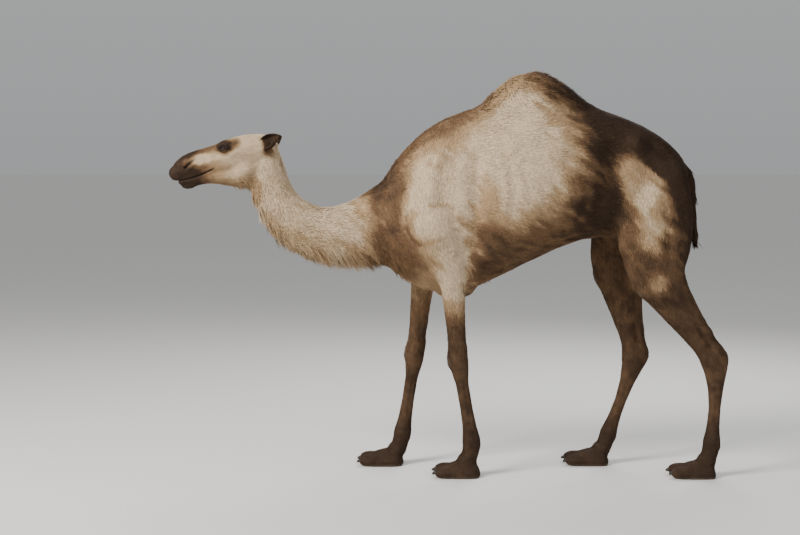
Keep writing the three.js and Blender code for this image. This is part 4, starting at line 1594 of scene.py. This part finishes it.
        tail_end = tail * ramp(1.3, 1.24, z)
        tail_side = tail * ramp(1.22, 1.3, z)
        places = {
            "locks_hump": (Lock(0.056, 0.0036, 0.48, 0.28, 0.55, 0.0105), crest),
            "locks_back": (Lock(0.04, 0.0034, 0.45, 0.35, 0.35, 0.012), ridge + 0.8 * nape + 0.9 * crown),
            "locks_neck": (Lock(0.072, 0.0036, 0.35, 0.75, 0.3, 0.0125), under * (1.0 - 0.6 * chest)),
            "locks_throat": (Lock(0.05, 0.0032, 0.3, 0.65, 0.3, 0.011), throat * (1.0 - neck)),
            "locks_chest": (Lock(0.046, 0.0036, 0.22, 0.45, 0.25, 0.015), chest + elbow),
            "locks_tail": (Lock(0.05, 0.0036, 0.2, 0.6, 0.25, 0.0066), tail_end + 0.3 * tail_side),
        }
        from_ears = distance(points, [ear.root() for ear in ears_of(self.body)])
        clear = ramp(0.04, 0.06, from_ears) * off_ears
        return {name: (lock, share * clear) for name, (lock, share) in places.items()}

    def hair_piece(self, name: str, roots: Roots, points: Array, pattern: Array,
                   along: Array) -> Piece:
        """Joins equal small meshes into one piece with its colours, its map and soft normals.

        Args:
            name: the piece's name.
            roots: one root for each small mesh.
            points: N x P x 3 places.
            pattern: the faces of one small mesh.
            along: N x P shares of the way from root to tip.

        Returns:
            The piece.
        """
        count, size, _ = points.shape
        faces = (pattern[None] + size * np.arange(count)[:, None, None]).reshape(-1, 3)
        surface = Surface(points.reshape(-1, 3), faces)
        surface.points[:, 2] = np.maximum(surface.points[:, 2], 0.0002)
        surface.face_outwards()
        piece = surface.piece(name)
        mesh = piece.data
        tone = self.markings.colours(roots.points) * self.random.uniform(0.8, 1.18, (count, 1))
        store_tone(mesh, np.repeat(tone, size, axis=0))
        store(mesh, "along", "FLOAT", along.reshape(-1))
        turn = full_turn(size)
        patch = 0.0014 * np.stack([np.cos(turn), np.sin(turn)], axis=1)
        places = (self.unwrapped(roots)[:, None] + patch).reshape(-1, 2)
        layer = mesh.uv_layers.new(name="OFBake")
        layer.data.foreach_set("uv", places[surface.faces.ravel()].astype(np.float32).ravel())
        soft = unit(surface.normals() * 0.4 + 0.75 * np.repeat(roots.normals, size, axis=0))
        mesh.normals_split_custom_set_from_vertices(soft.astype(np.float32))
        return piece

    def strips(self) -> list[Strip]:
        """The strips of the map: one from muzzle to rump, one for hump and tail, and one for each leg."""
        trunk = Strip((1, 0, *range(2, 11)), 0.01, 0.01, 0.98, 0.48)
        strips = [trunk, Strip((11, 12, 13), 0.01, 0.87, 0.78, 0.12)]
        for i in range(4):
            leg = tuple(range(14 + 5 * i, 19 + 5 * i))
            strips.append(Strip(leg, 0.01 + 0.2475 * i, 0.5, 0.2375, 0.36))
        return strips

    def unwrapped(self, roots: Roots) -> Array:
        """The place of each root on a map of the skin: along each part of the body and around it.

        The stretches of the head point forwards and the others back, so the head's are turned over. The ears
        have a strip each beside that of the tail.
        """
        place = np.zeros((len(roots.points), 2))
        for strip in self.strips():
            spans = np.array([self.stretches[number][1].span() for number in strip.chain])
            starts = np.concatenate([[0.0], np.cumsum(spans)])
            for span, start, number in zip(spans, starts, strip.chain):
                here = roots.stretch == number
                region, stretch = self.stretches[number]
                share = stretch.near(roots.points[here])[1]
                around = stretch.around(roots.points[here]) / (2.0 * np.pi) + 0.5
                if region is Region.HEAD:
                    share, around = 1.0 - share, 1.0 - around
                along = (start + share * span) / starts[-1]
                spot = [strip.left + strip.wide * along, strip.low + strip.high * around]
                place[here] = np.stack(spot, axis=1)
        for ear, low in zip(ears_of(self.body), (0.87, 0.935)):
            across, deep, along = ear.local(roots.points)
            around = np.arctan2(across, deep) / (2.0 * np.pi) + 0.5
            spot = [0.8 + 0.18 * np.clip(along / ear.length, 0.0, 1.0), low + 0.055 * around]
            place = np.where(ear.holds(roots.points)[:, None] > 0.5, np.stack(spot, axis=1), place)
        return place


@dataclass(frozen=True)
class Lashes:
    """The lashes of one lid: their number, length and rise, and whether the lid is the upper one."""

    count: int
    length: float
    rise: float
    upper: bool


LASHES = (Lashes(60, 0.032, 0.1, True), Lashes(30, 0.013, -0.75, False))


def lash_roots(face: Face, side: int, lashes: Lashes, random: np.random.Generator) -> Roots:
    """The roots of the lashes along the rim of one lid.

    Args:
        face: the lids.
        side: 1 for the left eye and -1 for the right.
        lashes: the lashes of the lid.
        random: the source of random numbers.

    Returns:
        The roots, leaning out from the eye.
    """
    look, across, tall = face.eye_axes(side)
    count, half, beyond_edge = lashes.count, face.opening[0], 0.0008
    along = np.linspace(-0.86, 0.86, count) * half + random.normal(0.0, 0.0004, count)
    upper, lower = face.edge(along)
    height = upper + beyond_edge if lashes.upper else -lower - beyond_edge
    points = face.on_lid(side, along, height, face.lid)
    normals = unit(points - face.body.eyes[side])
    lean = unit(look[None] * 0.9 + (lashes.rise * tall)[None] + (along / half)[:, None] * 0.55 * across)
    lean = unit(lean + random.normal(0.0, 0.07, (count, 3)))
    length = lashes.length * random.uniform(0.8, 1.15, count)
    return Roots(points, normals, lean, length, np.full(count, 0.0013), np.zeros(count), np.zeros(count, int))


def nail_surface(solid: Surface) -> Surface:
    """A nail that narrows and droops towards its blunt tip, with its root pushed into the toe.

    It is a ball in the middle and the size of the nail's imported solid. Its width and height shrink with the
    share of the way forwards, its top is bowed down by the square of that share and its underside flattened.
    """
    low, high = solid.points.min(axis=0), solid.points.max(axis=0)
    nail = ball(np.zeros(3), 1.0, 36)
    across, back, up = nail.points.T
    ahead = 0.5 - 0.5 * back
    narrow = 1.0 - 0.38 * ahead
    up = np.where(up < 0.0, 0.55 * up, up * (1.0 - 0.25 * ahead)) - 0.35 * ahead**2
    local = np.stack([across * narrow, back * 1.12, up], axis=1)
    nail.points = (low + high) / 2.0 + np.array([0.0, 0.01, 0.0]) + local * (high - low) / 2.0
    return nail


def store(mesh: bpy.types.Mesh, name: str, kind: str, values: Array) -> None:
    """Writes one value for each point of a mesh as a named attribute."""
    attribute = mesh.attributes.new(name=name, type=kind, domain="POINT")
    key = "color" if kind == "FLOAT_COLOR" else "value"
    attribute.data.foreach_set(key, values.astype(np.float32).ravel())


def store_tone(mesh: bpy.types.Mesh, colours: Array) -> None:
    """Writes a colour for each point of a mesh as its tone."""
    store(mesh, "tone", "FLOAT_COLOR", np.concatenate([colours, np.ones((len(colours), 1))], axis=1))


def store_colour(piece: Piece, colour: Colour) -> None:
    """Gives a whole hair piece one colour."""
    values = np.tile(np.array([*colour, 1.0], np.float32), len(piece.data.vertices))
    piece.data.attributes["tone"].data.foreach_set("color", values)


# ---- materials
class Socket:
    """A shader value that can be used in sums: each operator adds its Math node."""

    def __init__(self, graph: "Graph", socket: bpy.types.NodeSocket) -> None:
        """Wraps one output socket of a graph."""
        self.graph, self.socket = graph, socket

    def __add__(self, other: "Socket | float") -> "Socket":
        """The sum."""
        return self.graph.math("ADD", self, other)

    def __sub__(self, other: "Socket | float") -> "Socket":
        """The difference."""
        return self.graph.math("SUBTRACT", self, other)

    def __mul__(self, other: "Socket | float") -> "Socket":
        """The product."""
        return self.graph.math("MULTIPLY", self, other)

    def __rsub__(self, other: float) -> "Socket":
        """A number less this value."""
        return self.graph.math("SUBTRACT", other, self)

    __radd__ = __add__
    __rmul__ = __mul__


class Graph:
    """The node tree of a material or of the world, with its shader."""

    def __init__(self, owner: bpy.types.Material | bpy.types.World, shader: str) -> None:
        """Opens the node tree of a new material or world, which starts with the shader of that name."""
        owner.use_nodes = True
        self.owner = owner
        self.tree = owner.node_tree
        self.shader = self.tree.nodes[shader]

    def value(self, kind: str, output: str | int = 0, settings: dict | None = None,
              **inputs: object) -> Socket:
        """Adds a node and gives one of its outputs.

        Args:
            kind: the node's type.
            output: the name or the number of the output.
            settings: the node's settings, set before its sockets.
            inputs: the value or link of each input, with spaces in its name written as underscores. An input
                known by its number is written as in_ and the number.

        Returns:
            The output.
        """
        node = self.tree.nodes.new(kind)
        for key, value in (settings or {}).items():
            setattr(node, key, value)
        for key, value in inputs.items():
            self.feed(node.inputs[int(key[3:]) if key.startswith("in_") else key.replace("_", " ")], value)
        return Socket(self, node.outputs[output])

    def feed(self, socket: bpy.types.NodeSocket, value: object) -> None:
        """Links a socket to a value of the graph, or sets it to a number or colour."""
        if isinstance(value, Socket):
            self.tree.links.new(value.socket, socket)
        else:
            socket.default_value = value

    def shade(self, **inputs: object) -> None:
        """Sets or links inputs of the shader, with spaces in their names written as underscores."""
        for key, value in inputs.items():
            self.feed(self.shader.inputs[key.replace("_", " ")], value)

    def math(self, operation: str, *values: Socket | float) -> Socket:
        """A Math node on one or more values."""
        inputs = {f"in_{i}": value for i, value in enumerate(values)}
        return self.value("ShaderNodeMath", 0, {"operation": operation}, **inputs)

    def attribute(self, name: str, output: str) -> Socket:
        """A value stored on the mesh."""
        return self.value("ShaderNodeAttribute", output, {"attribute_name": name})

    def noise(self, scale: float, detail: float = 2.0, stretch: Place = (1.0, 1.0, 1.0)) -> Socket:
        """Noise from 0 to 1 on Object coordinates, stretched along an axis where its factor is small."""
        place = self.value("ShaderNodeTexCoord", "Object")
        place = self.value("ShaderNodeMapping", Vector=place, Scale=stretch)
        return self.value("ShaderNodeTexNoise", Vector=place, Scale=scale, Detail=detail)

    def shaded(self, colour: Socket, factor: Socket) -> Socket:
        """A colour multiplied by a grey value."""
        return self.value("ShaderNodeVectorMath", 0, {"operation": "SCALE"}, in_0=colour, Scale=factor)

    def bump(self, height: Socket, strength: float, distance: float) -> Socket:
        """The normal of a bumpy surface."""
        return self.value("ShaderNodeBump", Height=height, Strength=strength, Distance=distance)


@dataclass(frozen=True)
class Finish:
    """The look of a material: its name and its shader's constants."""

    name: str
    roughness: float
    specular: float
    coat: float = 0.0
    coat_roughness: float = 0.03

    def graph(self) -> Graph:
        """A material's graph with the constants set on its shader."""
        graph = Graph(bpy.data.materials.new(self.name), "Principled BSDF")
        graph.shade(Roughness=self.roughness, Specular_IOR_Level=self.specular)
        graph.shade(Coat_Weight=self.coat, Coat_Roughness=self.coat_roughness)
        return graph


HAIR_FINISH = Finish("hair", 0.8, 0.08)
HIDE_FINISH = Finish("hide", 0.78, 0.2)
HORN_FINISH = Finish("horn", 0.5, 0.3)
EYE_FINISH = Finish("eye", 0.06, 0.4, 0.3, 0.02)
FLOOR_FINISH = Finish("floor", 0.9, 0.1)


def hair_material() -> bpy.types.Material:
    """Matt hair in the colour of its root, darker at the root and paler at the tip."""
    graph = HAIR_FINISH.graph()
    tone = graph.attribute("tone", "Color")
    along = graph.attribute("along", "Fac")
    fleck = graph.noise(160.0, 2.0)
    graph.shade(Base_Color=graph.shaded(tone, (0.76 + 0.36 * along) * (0.8 + 0.4 * fleck)))
    return graph.owner


def skin_material() -> bpy.types.Material:
    """Hide in the coat's colours with fine bumps of short hair lying over it."""
    graph = HIDE_FINISH.graph()
    tone = graph.attribute("tone", "Color")
    streak = graph.noise(260.0, 3.0, (1.0, 0.35, 0.5))
    wrinkle = graph.noise(38.0, 4.0)
    graph.shade(
        Base_Color=graph.shaded(tone, (0.72 + 0.34 * streak) * (0.86 + 0.24 * wrinkle)),
        Normal=graph.bump(streak + 0.5 * wrinkle, 0.55, 0.0025),
    )
    return graph.owner


def nail_material() -> bpy.types.Material:
    """Dark horn with faint streaks."""
    graph = HORN_FINISH.graph()
    black, brown = (0.01, 0.007, 0.005, 1.0), (0.042, 0.03, 0.022, 1.0)
    streak = graph.noise(120.0, 3.0, (1.0, 0.3, 1.0))
    horn = graph.value("ShaderNodeMix", "Result", {"data_type": "RGBA"}, Factor=streak, A=black, B=brown)
    graph.shade(Base_Color=horn)
    return graph.owner


def eye_material() -> bpy.types.Material:
    """A wet, glossy eyeball."""
    graph = EYE_FINISH.graph()
    graph.shade(Base_Color=graph.attribute("tone", "Color"))
    return graph.owner


def floor_material() -> bpy.types.Material:
    """Pale matt paper."""
    graph = FLOOR_FINISH.graph()
    graph.shade(Base_Color=(0.7, 0.69, 0.67, 1.0))
    return graph.owner


# ---- studio
@dataclass
class Studio:
    """A pale floor, soft lights and the camera, to the animal's left.

    distance, along and height are the camera's place, out from the middle, along the body in the drawing axes
    and up. horizon and zenith are the strength of the sky's light.
    """

    distance: float = 7.5
    height: float = 1.55
    pitch: float = math.radians(3.76)
    lens: float = 65.475
    along: float = -0.263
    horizon: float = 0.38
    zenith: float = 0.52

    def build(self, body: Anatomy) -> None:
        """Makes the floor, the lights and the camera, which is placed along the body by its landmarks."""
        scene = bpy.context.scene
        camera = bpy.data.objects.new("camera", bpy.data.cameras.new("camera"))
        camera.data.lens = self.lens
        camera.data.clip_end = 2000.0
        camera.location = (self.distance, self.along + body.shift, self.height)
        camera.rotation_euler = (math.pi / 2.0 - self.pitch, 0.0, math.pi / 2.0)
        scene.collection.objects.link(camera)
        scene.camera = camera
        self.floor()
        self.light("key", (3.6, -4.4, 5.4), 2.4, 700.0, (1.0, 0.965, 0.92))
        self.light("fill", (5.4, 4.2, 2.2), 4.0, 60.0, (0.93, 0.96, 1.0))
        self.light("rim", (-3.8, 2.0, 4.6), 3.0, 200.0, (1.0, 1.0, 1.0))
        scene.world = self.sky()

    def sky(self) -> bpy.types.World:
        """An even pale sky that is as bright as the far floor along the horizon, so that no line shows."""
        graph = Graph(bpy.data.worlds.new("studio"), "Background")
        up = graph.value("ShaderNodeSeparateXYZ", "Z", in_0=graph.value("ShaderNodeTexCoord", "Generated"))
        ends = {"From_Min": 0.0, "From_Max": 0.35, "To_Min": self.horizon, "To_Max": self.zenith}
        strength = graph.value("ShaderNodeMapRange", Value=up, **ends)
        graph.shade(Strength=strength, Color=(0.97, 0.985, 1.0, 1.0))
        return graph.owner

    def floor(self, radius: float = 900.0, sides: int = 128) -> None:
        """A wide pale disc that the feet stand on."""
        mesh = bpy.data.meshes.new("floor")
        turn = full_turn(sides)
        points = np.stack([radius * np.cos(turn), radius * np.sin(turn), np.zeros(sides)], axis=1)
        mesh.from_pydata(points.tolist(), [], [list(range(sides))])
        mesh.materials.append(floor_material())
        floor = bpy.data.objects.new("floor", mesh)
        bpy.context.scene.collection.objects.link(floor)

    def light(self, name: str, place: Place, size: float, power: float, colour: Colour) -> None:
        """A square area light turned towards the middle of the body."""
        lamp = bpy.data.lights.new(name, "AREA")
        lamp.size, lamp.energy, lamp.color = size, power, colour
        holder = bpy.data.objects.new(name, lamp)
        holder.location = place
        towards = Vector((0.0, 0.0, 1.0)) - Vector(place)
        holder.rotation_euler = towards.to_track_quat("-Z", "Y").to_euler()
        bpy.context.scene.collection.objects.link(holder)


# ---- the animal
def add_skin(skin: Skin, markings: MarkingsAndPaintedLight, nodes: Nodes) -> None:
    """Adds the skin, which stands for every solid but the eyes and the nails."""
    piece = skin.surface.piece("skin")
    store_tone(piece.data, markings.colours(skin.surface.points))
    piece.data.materials.append(skin_material())
    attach(piece, BODY)
    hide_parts(*[name for name in nodes if not name.startswith(("nail_", "eye_"))])


def add_coat(coat: Coat, hair: bpy.types.Material) -> None:
    """Adds the short tufts and the long locks."""
    pieces = []
    for name, roots in coat.short_tufts().items():
        log.info("%s: %d tufts", name, len(roots.points))
        pieces.append(coat.tuft_mesh(name, roots))
    for name, (lock, density) in coat.long_places().items():
        roots = coat.locks(lock, density)
        log.info("%s: %d strands", name, lock.strands * len(roots.points))
        pieces.append(coat.strand_mesh(name, roots, lock))
    for tufts in pieces:
        tufts.data.materials.append(hair)
        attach(tufts, BODY)


def add_eyes(coat: Coat, hair: bpy.types.Material) -> None:
    """Adds the eyeballs and the lashes of both eyes."""
    face = Face(coat.body)
    wet = eye_material()
    hang = Lock(length=0.0, width=0.0, lift=0.0, droop=0.42, curl=0.0, spacing=0.0, strands=1, spread=0.0)
    for name, side in SIDES.items():
        eye = Eye(face, side)
        surface = eye.surface()
        eyeball = surface.piece(f"eyeball_{name}")
        store_tone(eyeball.data, eye.colours(surface.points))
        eyeball.data.materials.append(wet)
        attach(eyeball, BODY)
        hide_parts(f"eye_{name}")
        roots = Roots.joined([lash_roots(face, side, lashes, coat.random) for lashes in LASHES])
        lashes = coat.strand_mesh(f"lashes_{name}", roots, hang)
        store_colour(lashes, (0.02, 0.013, 0.009))
        lashes.data.materials.append(hair)
        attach(lashes, BODY)


def add_nails(nodes: Nodes) -> None:
    """Adds a nail in the place of each nail solid."""
    horn = nail_material()
    for name, node in nodes.items():
        if name.startswith("nail_"):
            nail = nail_surface(arrays_of(node)).piece(f"horn_{name}")
            nail.data.materials.append(horn)
            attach(nail, BODY)
            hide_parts(name)


def main() -> None:
    """Builds the camel and the studio."""
    logging.basicConfig(level=logging.INFO, format="%(message)s")
    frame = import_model()
    body = Anatomy()
    Studio().build(body)
    skin = Skin(body)
    skin.build(frame["nodes"])
    markings = MarkingsAndPaintedLight(body)
    add_skin(skin, markings, frame["nodes"])
    coat = Coat(body, skin.surface, markings)
    hair = hair_material()
    add_coat(coat, hair)
    add_eyes(coat, hair)
    add_nails(frame["nodes"])


if __name__ == "__main__":
    main()
